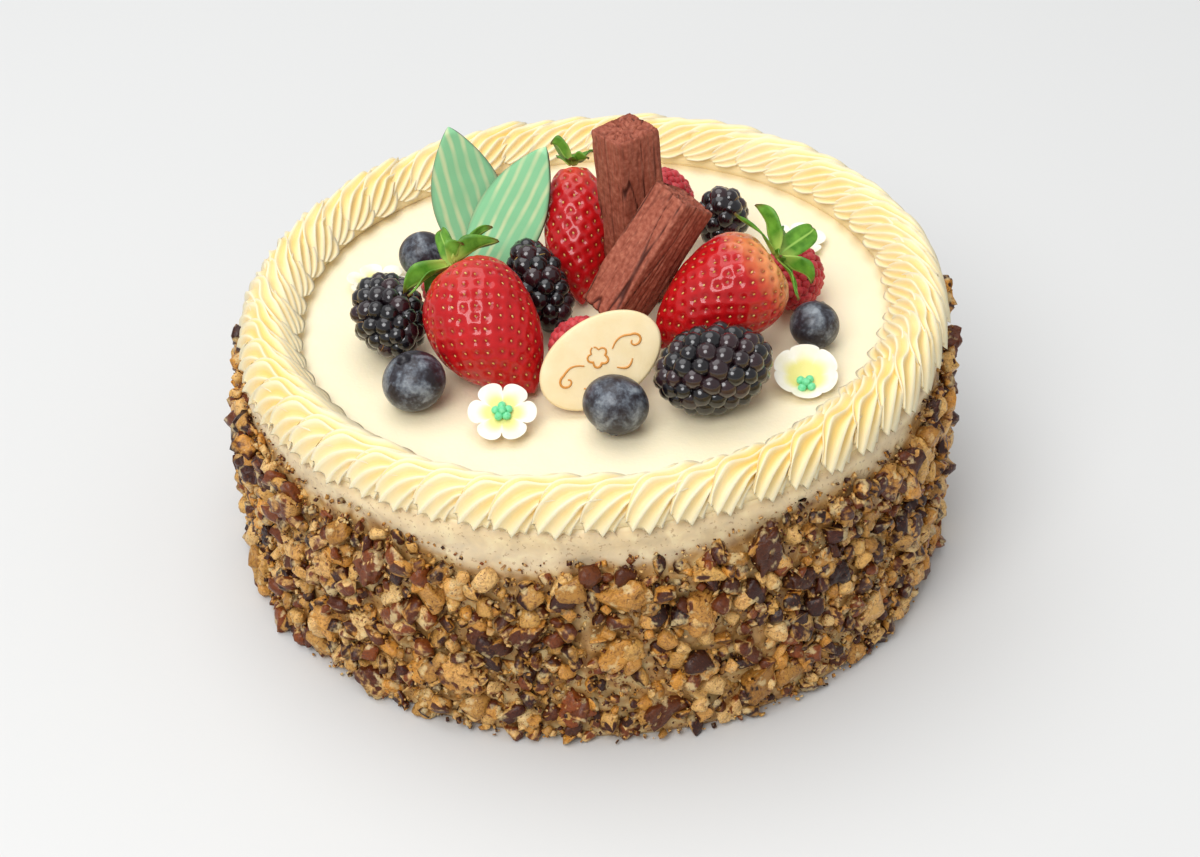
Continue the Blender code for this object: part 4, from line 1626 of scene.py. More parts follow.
@dataclass
class Strawberry:
    """A strawberry: a pitted cone with a round shoulder, its seeds and its leafy crown.

    Broadest is the share of the way to the crown where it is widest, and bow how far, and which
    way, its middle bends aside.
    """

    side: str
    tip: Vector
    crown: Vector
    width: float
    blades: tuple[tuple[float, float, float, float, float], ...]
    finish: StrawberrySkin
    broadest: float
    bow: Triple = (0.0, 0.0, 0.0)
    around: int = 200
    along: int = 124
    seed_spacing: float = 3.7
    pit_depth: float = 0.62
    pit_width: float = 1.15
    crown_start: float = 0.976
    seeds_end: float = 0.93
    seed_sunk: float = 0.5
    ovalness: float = 0.03
    swell: float = 0.14
    over_start: float = 0.9
    shoulder_rise: float = 0.014
    crown_dip: float = 0.03
    blade_rings: int = 18
    blade_cells: int = 8
    blade_gap: float = 0.5
    blade_thickness: float = 0.4
    blade_arch: float = 0.42
    blade_curl: float = 0.7
    blade_fold: float = 0.22
    blade_wave: float = 0.25

    @property
    def name(self) -> str:
        """The CAD node that it stands for."""
        return f"strawberry_{self.side}"

    @property
    def length(self) -> float:
        """From tip to crown."""
        return (self.crown - self.tip).length

    def matrix(self) -> Matrix:
        """The berry's place in millimetres: its tip at the origin and its crown along +Z."""
        return pose(self.tip, self.crown)

    def bent(self, place: Vector) -> Vector:
        """A place in the berry's frame, carried along by the berry's bend."""
        way = self.matrix().to_3x3().inverted() @ Vector(self.bow)
        return place + way * sin(pi * min(max(place.z / self.length, 0.0), 1.0))

    def oval(self, turn: float) -> float:
        """How much wider than round the berry is at this turn, as a factor."""
        return 1 + self.ovalness * sin(2 * turn + 1.0)

    def outline(self, share: float) -> tuple[float, float]:
        """Follows the berry's outline from the tip over the crown to its middle.

        Args:
            share: the share of the way.

        Returns:
            The radius and the height there.
        """
        share = min(max(share, 0.0), 1.0)
        along = (1 - cos(pi * share)) / 2
        if along < self.broadest:
            fullness = sin(pi / 2 * (along / self.broadest) ** 0.8)
        else:
            rest = (min(along, self.crown_start) - self.broadest) / (1.02 - self.broadest)
            fullness = sqrt(1 - rest**2.4)
        height = along
        if along > self.crown_start:
            over = (share - self.over_start) / (1 - self.over_start)
            fullness *= 1 - over
            height = self.crown_start + self.shoulder_rise * sin(pi * over)
            height -= self.crown_dip * over**2
        return self.width / 2 * fullness, height * self.length

    def seeds(self) -> list[tuple[Vector, Vector, Vector]]:
        """Spreads the seeds evenly over the berry, in its own frame.

        Returns:
            Place, outward way and way to the tip of each.
        """
        shares = np.linspace(0, self.seeds_end, 200)
        outline = np.array([self.outline(s) for s in shares])
        steps = np.hypot(*np.diff(outline, axis=0).T)
        bands = steps * tau * (outline[1:, 0] + outline[:-1, 0]) / 2
        areas = np.concatenate([[0], np.cumsum(bands)])
        count = int(areas[-1] / (self.seed_spacing**2 * 0.9))
        draw = random.Random(SEED + len(self.side))
        found = []
        for index in range(1, count):
            area = (index + draw.uniform(0.2, 0.8)) / count * areas[-1]
            share = float(np.interp(area, areas, shares))
            turn = index * GOLDEN_TURN + draw.uniform(-0.06, 0.06)
            radius, height = self.outline(share)
            radius *= self.oval(turn)
            radius_after, height_after = self.outline(share + 0.01)
            rise = Vector((radius_after - radius, height_after - height)).normalized()
            out = heading(turn)
            normal = out * rise.y - Vector((0, 0, rise.x))
            down = -(out * rise.x + Vector((0, 0, rise.y)))
            found.append((self.bent(out * radius + Vector((0, 0, height))), normal, down))
        return found

    def build_flesh(self, seeds: list[tuple[Vector, Vector, Vector]]) -> None:
        """Makes the berry with a pit round each seed.

        Args:
            seeds: the seeds' places.
        """
        tree = KDTree(len(seeds))
        for index, (place, _, _) in enumerate(seeds):
            tree.insert(place, index)
        tree.balance()

        def point(share: float, turn: float) -> tuple[Vector, float, float]:
            """Places one point of the skin.

            Args:
                share: the share of the way from the tip over the crown.
                turn: the turn about the berry's axis.

            Returns:
                The place in mm, its depth in a pit and its share of the berry's length.
            """
            radius, height = self.outline(share)
            grow = radius * self.oval(turn)
            place = self.bent(Vector((grow * cos(turn), grow * sin(turn), height)))
            pit = exp(-((tree.find(place)[2] / self.pit_width) ** 2))
            return place, pit, height / self.length

        levels = [level / self.along for level in range(1, self.along)]
        top = (0, 0, self.outline(1.0)[1])
        mesh = turned(f"{self.name}_flesh", levels, self.around, point, (0, 0, 0), top,
                      pit=(0.0, 0.0), share=(0.0, 1.0))
        pits = [item.value for item in mesh.attributes["pit"].data]
        normals = [normal.vector.copy() for normal in mesh.vertex_normals]
        for vertex, normal, pit in zip(mesh.vertices, normals, pits):
            swell = self.swell * lumps(vertex.co / MM, 6.0, self.width)
            vertex.co += normal * (swell - self.pit_depth * pit + 0.1) * MM
        set_down(mesh, self.matrix(), self.finish.make(), "strawberry_flesh", self.name)

    def build_seeds(
        self, workshop: Workshop, seeds: list[tuple[Vector, Vector, Vector]],
        material: Material,
    ) -> None:
        """Sets the seeds in their pits.

        Args:
            workshop: runs the scatter tree.
            seeds: the seeds' places.
            material: their finish.
        """
        placed = self.matrix()
        facing = placed.to_3x3()
        spots = [Spot(placed @ (place - normal * self.seed_sunk), facing @ normal, 1.0,
                      facing @ down)
                 for place, normal, down in seeds]
        shape = grain_mesh("achene", 1, (0.3, 0.56, 0.24), 3, 0.05)
        piece = workshop.scatter(f"{self.name}_seeds", spots, [shape], material, 0.85, 1.15,
                                 spin=0.3)
        finish_piece(piece)

    def build_crown(self, material: Material) -> None:
        """Makes the leaves round the crown as one piece.

        Args:
            material: the leaves' finish.
        """
        points, faces, along, across = [], [], [], []
        row = self.blade_cells + 1
        for index, (direction, length, width, rise, twist) in enumerate(self.blades):
            first = len(points)
            bend = self.blade_arch * max(rise, 0.0)
            turn = radians(direction)
            out = heading(turn)
            aside = Vector((-out.y, out.x, 0.0))
            for level in range(self.blade_rings + 1):
                share = level / self.blade_rings
                reach = length * (0.06 + 0.94 * share)
                arch = sin(pi / 2 * min(share / 0.55, 1)) * (1 - fade(share, 0.5, 1))
                lift = self.blade_gap + bend * arch
                lift += rise * fade(share, 0.35, 1.0) + 0.5 * sin(pi * share)
                fullness = (0.3 + 1.7 * share) * (1 - share) ** 0.85 / 0.63
                half = 0.56 * width * fullness
                curl = self.blade_curl * lumps((index * 5.0, share * 2.2, 0), 1.0)
                for cell in range(row):
                    side = 2 * cell / self.blade_cells - 1
                    fold = self.blade_fold * half * abs(side) ** 1.5
                    fold += max(side * twist, 0.0) * fullness
                    wave = self.blade_wave * sin(9 * share + 3 * side + index)
                    place = out * reach + aside * (side * half + curl * share)
                    points.append(place + Vector((0, 0, lift + fold + wave)))
                    along.append(share)
                    across.append(side)
            starts = [first + level * row + cell for level in range(self.blade_rings)
                      for cell in range(self.blade_cells)]
            faces += [(start, start + 1, start + row + 1, start + row) for start in starts]
        mesh = mesh_from(f"{self.name}_sepals", np.array(points), faces)
        set_values(mesh, "along", along)
        set_values(mesh, "across", across)
        piece = new_object(mesh.name, mesh)
        thickness = piece.modifiers.new("thickness", "SOLIDIFY")
        thickness.thickness = self.blade_thickness * MM
        thickness.offset = 0.0
        baked(piece)
        piece.data.transform(in_metres(pose(self.crown, self.crown * 2 - self.tip)))
        piece.data.shade_smooth()
        piece.data.materials.append(material)
        finish_piece(piece, "strawberry_leaf", f"{self.name}_leaves")

    def build(self, workshop: Workshop, seed_finish: Material,
              leaf_finish: Material) -> None:
        """Makes the flesh, the seeds and the leaves.

        Args:
            workshop: runs the scatter tree.
            seed_finish: the seeds' finish.
            leaf_finish: the leaves' finish.
        """
        seeds = self.seeds()
        self.build_flesh(seeds)
        self.build_seeds(workshop, seeds, seed_finish)
        self.build_crown(leaf_finish)


class BerryKind(Enum):
    """What a bumpy berry is."""

    BRAMBLE = (6.0, "bramble_skin")
    RASPBERRY = (3.0, "raspberry_skin")

    def __init__(self, size: float, slot: str) -> None:
        """Names its drupelets' diameter in mm and its material slot."""
        self.size = size
        self.slot = slot


@dataclass
class BumpyBerry:
    """A bramble or a raspberry: drupelets packed round a core, and a bramble's dry golden hairs."""

    name: str
    kind: BerryKind
    crown: Vector
    tip: Vector
    radius: float
    core_inset: float = 0.55
    packing: float = 0.8
    size_spread: float = 0.14
    hair_share: float = 0.25
    hair_reach: float = 0.9
    hair_rings: tuple[float, ...] = (0.13, 0.1, 0.07, 0.03)

    @property
    def half(self) -> float:
        """Half of its length."""
        return (self.crown - self.tip).length / 2

    def matrix(self) -> Matrix:
        """The place of the berry's middle in millimetres, its tip along +Z."""
        return pose(self.crown, self.tip) @ Matrix.Translation((0, 0, self.half))

    def spots(self) -> list[Spot]:
        """Packs the drupelets, their tops on the solid berry's outline.

        Returns:
            Their spots.
        """
        size = self.kind.size
        halves = Vector((self.radius, self.radius, self.half))
        middling = (self.radius**3.2 + 2 * (self.radius * self.half) ** 1.6) / 3
        area = 4 * pi * middling ** (1 / 1.6)
        count = int(area / (size**2 * self.packing))
        placed = self.matrix()
        turn = placed.to_3x3()
        draw = random.Random(SEED + len(self.name) + int(self.radius * 10))
        spots = []
        for index in range(count):
            z = 1 - (2 * index + 1) / count
            ring = sqrt(1 - z * z)
            angle = index * GOLDEN_TURN + draw.uniform(-0.05, 0.05)
            unit = Vector((ring * cos(angle), ring * sin(angle), z))
            normal = Vector(a / b for a, b in zip(unit, halves)).normalized()
            grow = 1 + self.size_spread * draw.uniform(-1, 1)
            depth = size / 2 * grow - draw.uniform(-0.25, 0.05) * size * 0.3
            place = Vector(a * b for a, b in zip(unit, halves)) - normal * depth
            spots.append(Spot(placed @ place, turn @ normal, size / 2 * grow))
        return spots

    def core(self) -> Mesh:
        """Makes the core that shows between the drupelets, coloured dark as painted shade.

        Returns:
            The mesh.
        """
        inset = self.kind.size * self.core_inset
        halves = (self.radius - inset, self.radius - inset, self.half - inset)
        mesh = grain_mesh(f"{self.name}_core", 3, halves, 1, 0.0)
        set_values(mesh, "core", [1.0] * len(mesh.vertices))
        mesh.transform(in_metres(self.matrix()))
        return mesh

    def build(self, workshop: Workshop, material: Material) -> None:
        """Sets the drupelets round the core.

        Args:
            workshop: runs the scatter tree.
            material: the drupelets' finish.
        """
        shape = grain_mesh("drupelet", 2, (1.03, 1.03, 1.0), 5, 0.06)
        piece = workshop.scatter(f"{self.name}_drupelets", self.spots(), [shape], material, 0.95,
                                 1.08, seed=SEED + len(self.name), core=self.core())
        finish_piece(piece, self.kind.slot, self.name)

    def hair(self) -> Mesh:
        """Makes one hair, a bent three-sided taper that stands on the origin.

        Returns:
            The mesh.
        """
        bm = bmesh.new()
        for index, radius in enumerate(self.hair_rings):
            middle = Matrix.Translation(Vector((0.16 * index**2, 0, 0.75 * index)) * MM)
            bmesh.ops.create_circle(bm, segments=3, radius=radius * MM, matrix=middle)
        bm.verts.ensure_lookup_table()
        for index in range(len(bm.verts) - 3):
            level, corner = divmod(index, 3)
            after = level * 3 + (corner + 1) % 3
            bm.faces.new([bm.verts[i] for i in (index, after, after + 3, index + 3)])
        bm.faces.new(bm.verts[-3:])
        bm.faces.new(reversed(bm.verts[:3]))
        mesh = bpy.data.meshes.new("hair")
        bm.to_mesh(mesh)
        bm.free()
        return mesh

    def build_hairs(self, workshop: Workshop, material: Material) -> None:
        """Makes the dry golden hairs that stand between a bramble's drupelets.

        Args:
            workshop: runs the scatter tree.
            material: their finish.
        """
        draw = random.Random(SEED * 3 + len(self.name))
        spots = []
        for spot in self.spots():
            if draw.random() < self.hair_share:
                aside = spot.facing.orthogonal().normalized()
                aside.rotate(Matrix.Rotation(draw.uniform(0, tau), 3, spot.facing))
                foot = aside * spot.size * self.hair_reach + spot.facing * self.hair_reach
                spots.append(Spot(spot.place + foot, spot.facing, draw.uniform(0.7, 1.2)))
        piece = workshop.scatter(f"{self.name}_hairs", spots, [self.hair()], material, 0.8, 1.2,
                                 lean=0.9, seed=SEED + 9)
        finish_piece(piece)


@dataclass
class Blueberry:
    """A blueberry with the crinkled ring of its crown."""

    side: str
    middle: Vector
    crown_way: Vector
    radius: float
    half_height: float
    around: int = 72
    along: int = 48
    dent: float = 1.5
    lobes: int = 5
    rim_share: float = 0.3
    rim_height: float = 0.55
    rim_width: float = 0.5

    def point(self, level: int, turn: float) -> tuple[Triple, float]:
        """Places one point of the skin.

        Args:
            level: how many rings from the foot.
            turn: the turn about the berry's own axis.

        Returns:
            The place in mm, and how far inside the crown it lies.
        """
        polar = pi * (level / self.along) ** 0.9
        out = self.radius * sin(polar)
        height = -self.half_height * cos(polar)
        top = 1.0 if polar > pi / 2 else 0.0
        lobe = 0.55 + 0.45 * cos(self.lobes * turn)
        off_rim = (out - self.rim_share * self.radius) / self.rim_width
        height += top * self.rim_height * lobe * exp(-(off_rim**2))
        height -= top * self.dent * (1 - fade(out, 0.1 * self.radius, 0.27 * self.radius))
        grow = 1 + 0.02 * lumps((cos(turn), sin(turn), polar), 1.3, self.radius)
        crown = top * (1 - fade(out, 0.2 * self.radius, 0.34 * self.radius))
        return (out * grow * cos(turn), out * grow * sin(turn), height), crown

    def build(self, material: Material) -> None:
        """Makes the berry.

        Args:
            material: the skin's finish.
        """
        name = f"blueberry_{self.side}"
        foot, top = (0, 0, -self.half_height), (0, 0, self.half_height - self.dent)
        mesh = turned(f"{name}_skin", range(1, self.along), self.around, self.point, foot, top,
                      crown=(0.0, 1.0))
        placed = pose(self.middle, self.middle + self.crown_way)
        set_down(mesh, placed, material, "blueberry_skin", name)


@dataclass
class ChocolateStick:
    """A stick of milk chocolate folded lengthwise like a curtain, with broken ends."""

    side: str
    foot: Vector
    top: Vector
    width: float
    depth: float
    roll: float
    salt: float
    around: int = 144
    levels: int = 84
    end_rings: int = 12
    squareness: float = 0.92
    bend_depth: float = 0.5
    crease_depth: float = 0.4
    crack_depth: float = 1.2
    grain_depth: float = 0.5
    thread_depth: float = 0.35
    bend_size: float = 3.2
    crease_size: float = 1.5
    crack_size: float = 5.2
    grain_size: float = 0.9
    thread_size: float = 0.8
    fold_stretch: float = 13.0
    crack_stretch: float = 9.0
    thread_stretch: float = 10.0
    crease_width: float = 0.13
    crack_width: float = 0.045

    @property
    def length(self) -> float:
        """From foot to top."""
        return (self.top - self.foot).length

    def rings(self) -> list[tuple[float, float, int]]:
        """Lists the rings, from the middle of the foot to the middle of the top.

        Returns:
            (share of the section, share of the length, end) of each; end is -1, 0 or 1.
        """
        ends = [(i + 1) / (self.end_rings + 1) for i in range(self.end_rings)]
        shaft = [(1.0, i / self.levels, 0) for i in range(self.levels + 1)]
        return [(s, 0.0, -1) for s in ends] + shaft + [(s, 1.0, 1) for s in reversed(ends)]

    def folded(self, place: Vector) -> tuple[float, float]:
        """Folds the chocolate lengthwise.

        Args:
            place: a place of the plain stick, in mm.

        Returns:
            How far it moves inwards, and how deep in a crease or crack it lies, for painted shade.
        """
        stretched = (place.x, place.y, place.z / self.fold_stretch)
        bend = lumps(stretched, self.bend_size, self.salt)
        fine = lumps(stretched, self.grain_size, self.salt + 5)
        pleat = abs(lumps(stretched, self.crease_size, self.salt + 7))
        crease = max(0.0, 1 - pleat / self.crease_width)
        stretched = (place.x, place.y, place.z / self.crack_stretch)
        split = abs(lumps(stretched, self.crack_size, self.salt + 3))
        crack = max(0.0, 1 - split / self.crack_width)
        stretched = (place.x, place.y, place.z / self.thread_stretch)
        thread = lumps(stretched, self.thread_size, self.salt + 11)
        inward = self.crease_depth * crease - self.bend_depth * bend + self.crack_depth * crack
        inward += self.grain_depth * fine + self.thread_depth * thread
        return inward, min(1.0, 0.45 * crease + crack)

    def point(self, ring: tuple[float, float, int], turn: float) -> tuple[Vector, float]:
        """Places one point of the stick.

        Args:
            ring: one of the rings.
            turn: the turn about the stick's own axis.

        Returns:
            The place in mm, and how deep in a crease it lies, for painted shade.
        """
        share, along, end = ring
        square = 1 / max(abs(cos(turn)), abs(sin(turn))) ** self.squareness
        x = cos(turn) * square * self.width / 2 * share
        y = sin(turn) * square * self.depth / 2 * share
        place = Vector((x, y, along * self.length))
        inward, crease = self.folded(place)
        if end:
            layers = lumps((place.x, place.y, 0), 1.5, self.salt + 5 * end)
            place.z += end * (1.1 * layers - 0.6 - 1.5 * crease * (1 - share**6))
            # painted shade: the recesses between an end's broken layers count as creases
            return place, min(1.0, crease + 0.6 * max(0.0, -layers))
        edge = 1 - 0.04 * (1 - fade(min(along, 1 - along), 0.0, 0.02))
        shrink = edge * (1 - inward / self.width)
        place.x *= shrink
        place.y *= shrink
        return place, crease

    def build(self, material: Material) -> None:
        """Makes the stick.

        Args:
            material: the chocolate's finish.
        """
        name = f"chocolate_stick_{self.side}"
        mesh = turned(f"{name}_folds", self.rings(), self.around, self.point, (0, 0, 0.4),
                      (0, 0, self.length - 0.6), crease=(0.3, 0.3))
        set_down(mesh, pose(self.foot, self.top, self.roll), material, "milk_chocolate", name)


@dataclass
class ChocolateLeaf:
    """A thin leaf of mint chocolate that stands on its point, gently bowed."""

    side: str
    foot: Vector
    top: Vector
    width: float
    roll: float
    thickness: float = 2.0
    bow: float = 0.04
    pointedness: float = 0.83
    around: int = 48
    levels: int = 60

    @property
    def length(self) -> float:
        """From foot to top."""
        return (self.top - self.foot).length

    def matrix(self) -> Matrix:
        """The leaf's place in millimetres, its top along +Z."""
        return pose(self.foot, self.top, self.roll)

    def point(self, level: int, turn: float) -> tuple[Triple, float, float]:
        """Places one point of the leaf.

        Args:
            level: how many rings from the foot.
            turn: the turn about the leaf's own axis.

        Returns:
            The place in mm, how far across it lies, and how much it is the back.
        """
        front = -1.0 if (self.matrix().to_3x3() @ Vector((0, 1, 0))).y > 0 else 1.0
        along = (1 - cos(pi * level / self.levels)) / 2
        half = self.width / 2 * sin(pi * along) ** self.pointedness
        bow = self.bow * self.length * sin(pi * along)
        across = half * cos(turn)
        rise = copysign(abs(sin(turn)) ** 0.4, sin(turn))
        wave = 0.25 * lumps((across, along * self.length, 0), 9.0, self.width)
        side = bow + wave + self.thickness / 2 * rise * min(1.0, half / 2)
        return (across, side, along * self.length), across, 0.5 - 0.5 * front * rise

    def build(self, material: Material) -> None:
        """Makes the leaf.

        Args:
            material: its finish.
        """
        name = f"chocolate_leaf_{self.side}"
        mesh = turned(f"{name}_blade", range(1, self.levels), self.around, self.point, (0, 0, 0),
                      (0, 0, self.length), across=(0.0, 0.0), back=(0.0, 0.0))
        set_down(mesh, self.matrix(), material, "mint_chocolate", name)


def leant(place: Vector, lean: float, roll: float) -> Matrix:
    """A place in millimetres, rolled about +Z and then leant to the front, both in degrees."""
    return (Matrix.Translation(place) @ Matrix.Rotation(radians(lean), 4, "X")
            @ Matrix.Rotation(radians(roll), 4, "Z"))


@dataclass
class Plaque:
    """The oval white-chocolate plaque, with a plain piped caramel scroll on its face."""

    place: Vector = field(default_factory=lambda: on_icing(2.6, -44.4, 13.6))
    half_length: float = 18.6
    half_width: float = 12.0
    thickness: float = 2.4
    edge: float = 0.8
    lean: float = 58.0
    tilt: float = 32.0
    around: int = 120
    scroll_radius: float = 0.34
    scroll_lift: float = 0.08

    def matrix(self) -> Matrix:
        """The plaque's place, in millimetres."""
        return leant(self.place, self.lean, self.tilt)

    def point(self, level: Triple, turn: float) -> tuple[Triple]:
        """Places one point of the plaque.

        Args:
            level: (share of the oval, how much of the edge is left out, rise from -1 to 1).
            turn: the turn about the plaque's own axis.

        Returns:
            The place in mm, with no further values.
        """
        share, inset, rise = level
        x = (self.half_length - self.edge * inset) * share * cos(turn)
        y = (self.half_width - self.edge * inset) * share * sin(turn)
        return ((x, y, rise * self.thickness / 2 + 0.06 * lumps((x, y, 0), 7.0)),)

    def build(self, material: Material) -> None:
        """Makes the plaque.

        Args:
            material: the white chocolate's finish.
        """
        shares = [0.3, 0.6, 0.85]
        rounds = [pi / 2 * i / 6 for i in range(7)]
        levels = [(share, 1.0, -1.0) for share in shares]
        levels += [(1.0, 1 - sin(r), -cos(r)) for r in rounds]
        levels += [(1.0, 1 - cos(r), sin(r)) for r in rounds[1:]]
        levels += [(share, 1.0, 1.0) for share in reversed(shares)]
        half = self.thickness / 2
        mesh = turned("plaque_oval", levels, self.around, self.point, (0, 0, -half), (0, 0, half))
        set_down(mesh, self.matrix(), material, "white_chocolate", "plaque")

    def strokes(self) -> list[list[tuple[float, float]]]:
        """Draws a blossom between two curls, a generic ornament.

        Returns:
            The points of each line on the plaque's face, in mm.
        """
        blossom = [(a + 1.57, 3.0 * (0.66 + 0.34 * abs(cos(2.5 * a))))
                   for a in np.linspace(0, tau * 0.98, 60)]
        strokes = [[(r * cos(a), 1.2 + r * sin(a)) for a, r in blossom]]
        for side in (-1, 1):
            stem = [(side * (4.6 + 6.4 * s), 1.0 + 1.9 * sin(2.6 * s) * (1 - 0.3 * s))
                    for s in np.linspace(0, 1, 20)]
            end_x, end_y = stem[-1]
            curl = [(end_x + side * 2.4 * sin(a) * (1 - a / 8),
                     end_y - 2.0 + 2.0 * cos(a) * (1 - a / 8))
                    for a in np.linspace(0.1, 5.6, 34)]
            strokes.append(stem + curl)
            strokes.append([(side * (3.0 + 5.0 * s), -4.0 - 1.6 * sin(3.0 * s))
                            for s in np.linspace(0, 1, 16)])
        return strokes

    def build_scroll(self, workshop: Workshop, material: Material) -> None:
        """Pipes the ornament.

        Args:
            workshop: runs the tree that follows a path.
            material: the caramel's finish.
        """
        placed = self.matrix()
        facing = placed.to_3x3() @ Vector((0, 0, 1))
        height = self.thickness / 2 + self.scroll_lift
        path = Path()
        for stroke in self.strokes():
            points = [placed @ Vector((x, y, height)) for x, y in stroke]
            shares = [min(max(i / (len(points) - 1), 0.05), 0.95) for i in range(len(points))]
            swell = [0.55 + 0.45 * sin(pi * share) for share in shares]
            path.add_stroke(points, facing, swell)
        section = round_section("scroll_section", self.scroll_radius, 8)
        finish_piece(workshop.follow("plaque_scroll", path, section, material, 0.08, 1.5))


@dataclass
class SugarFlower:
    """A six-petalled flower of sugar paste with a cluster of sugar beads in its middle."""

    side: str
    place: Vector
    radius: float
    cup: float
    roundness: float
    tip_up: float
    roll: float
    beads: int = 6
    beads_aside: Triple = (0.0, 0.0, 0.0)
    petals: int = 6
    thickness: float = 1.1
    bead_size: float = 1.15
    bead_ring: float = 1.85
    bead_lift: float = 1.5
    top_bead_lift: float = 2.2
    dish_depth: float = 0.55
    wave_height: float = 0.25
    around: int = 168
    rings: int = 18

    def matrix(self) -> Matrix:
        """The flower's place, in millimetres."""
        return leant(self.place, self.tip_up, self.roll)

    def reach(self, turn: float) -> tuple[float, float]:
        """Follows the outline of the petals.

        Args:
            turn: the turn about the flower's own axis.

        Returns:
            The radius there, and how far the turn is from its petal's middle.
        """
        spacing = tau / self.petals
        off = abs(remainder(turn, spacing)) / (spacing / 2)
        notch = 0.68 + 0.22 * fade(self.roundness, 0.88, 0.97)
        return self.radius * (notch + (1 - notch) * sqrt(max(1 - off**2.4, 0.0))), off

    def point(self, level: tuple[float, float], turn: float) -> tuple[Triple, float]:
        """Places one point of the petals.

        Args:
            level: (share of the way to the outline, side), where side is 1 above and -1 below.
            turn: the turn about the flower's own axis.

        Returns:
            The place in mm, and how yellow it is.
        """
        share, side = level
        edge, off = self.reach(turn)
        out = edge * share
        rise = self.cup * (out / self.radius) ** 2
        dish = self.dish_depth * (off**2 - 0.4) * share**2
        wave = self.wave_height * share * sin(turn * 2 + self.radius + self.roll)
        half = self.thickness / 2 * sqrt(max(1 - share**6, 0.0)) * (1 - 0.35 * share)
        blush = (1 - fade(share, 0.45, 0.85 - 0.1 * off)) * (0.55 + 0.45 * side)
        height = rise + dish + wave + side * half
        return (out * cos(turn), out * sin(turn), height), blush

    def build(self, material: Material) -> None:
        """Makes the petals.

        Args:
            material: the sugar paste's finish.
        """
        name = f"sugar_flower_{self.side}"
        shares = [((i + 1) / self.rings) ** 0.8 for i in range(self.rings)]
        levels = [(s, 1.0) for s in shares] + [(s, -1.0) for s in reversed(shares)]
        half = self.thickness / 2
        mesh = turned(f"{name}_petals", levels, self.around, self.point, (0, 0, half),
                      (0, 0, -half), blush=(1.0, 0.0))
        set_down(mesh, self.matrix(), material, "sugar_paste", name)

    def build_beads(self, workshop: Workshop, material: Material) -> None:
        """Sets a ring of sugar beads and one on top of it.

        Args:
            workshop: runs the scatter tree.
            material: the beads' finish.
        """
        placed = self.matrix()
        up = placed.to_3x3() @ Vector((0, 0, 1))
        spots = []
        for index in range(self.beads):
            turn = tau * index / (self.beads - 1) + 0.4
            spread, lift = self.bead_ring, self.bead_lift
            if index == self.beads - 1:
                spread, lift = 0.0, self.top_bead_lift
            middle = Vector((spread * cos(turn), spread * sin(turn), lift))
            spots.append(Spot(placed @ middle + Vector(self.beads_aside), up, self.bead_size))
        shape = grain_mesh("bead", 3, (1.0, 1.0, 0.92), 2, 0.06)
        finish_piece(workshop.scatter(f"sugar_flower_{self.side}_beads", spots, [shape], material,
                                      0.92, 1.1))


@dataclass
class Studio:
    """The camera at the photographed angle, soft light and a pale floor."""

    eye: Triple = (4.5, -618.0088, 485.4479)
    rightward: Triple = (0.99999, 0.00324, -0.00028)
    upward: Triple = (-0.0017, 0.59197, 0.80596)
    lens: float = 75.0
    sensor: float = 36.0
    floor_size: float = 9000.0
    sky: str = "#F4F6F8"
    sky_strength: float = 0.58
    aim: Triple = (0.0, 0.0, 60.0)

    def build_camera(self) -> None:
        """Makes the camera and puts it to use."""
        data = bpy.data.cameras.new("camera")
        data.lens = self.lens
        data.sensor_width = self.sensor
        data.clip_start = 0.01
        data.clip_end = 20.0
        camera = new_object("camera", data)
        right = Vector(self.rightward).normalized()
        back = right.cross(Vector(self.upward)).normalized()
        turn = Matrix((right, back.cross(right), back)).transposed().to_4x4()
        camera.matrix_world = Matrix.Translation(Vector(self.eye) * MM) @ turn
        bpy.context.scene.camera = camera

    def add_softbox(self, name: str, place: Triple, size: float, power: float) -> None:
        """Hangs a round soft box that looks at the cake's top.

        Args:
            name: its name.
            place: where it hangs, in mm.
            size: its diameter in mm.
            power: its power in watts.
        """
        data = bpy.data.lights.new(name, "AREA")
        data.shape = "DISK"
        data.size = size * MM
        data.energy = power
        light = new_object(name, data)
        turn = (Vector(self.aim) - Vector(place)).to_track_quat("-Z", "Y").to_matrix().to_4x4()
        light.matrix_world = Matrix.Translation(Vector(place) * MM) @ turn

    def build(self) -> None:
        """Makes the camera, the lights, the sky and the floor."""
        self.build_camera()
        self.add_softbox("key_light", (-420.0, 407.0, 2100.0), 2200.0, 25.0)
        self.add_softbox("front_light", (-560.0, -1200.0, 1500.0), 1150.0, 23.0)
        world = bpy.data.worlds.new("studio")
        world.use_nodes = True
        sky = world.node_tree.nodes["Background"]
        sky.inputs["Color"].default_value = linear(self.sky)
        sky.inputs["Strength"].default_value = self.sky_strength
        bpy.context.scene.world = world
        bpy.context.scene.view_settings.view_transform = "Standard"
        mesh = bpy.data.meshes.new("floor")
        half = self.floor_size / 2 * MM
        corners = [(-half, -half, 0), (half, -half, 0), (half, half, 0), (-half, half, 0)]
        mesh.from_pydata(corners, [], [(0, 1, 2, 3)])
        floor = new_object("floor", mesh)
        mesh.materials.append(BackdropPaper().make())


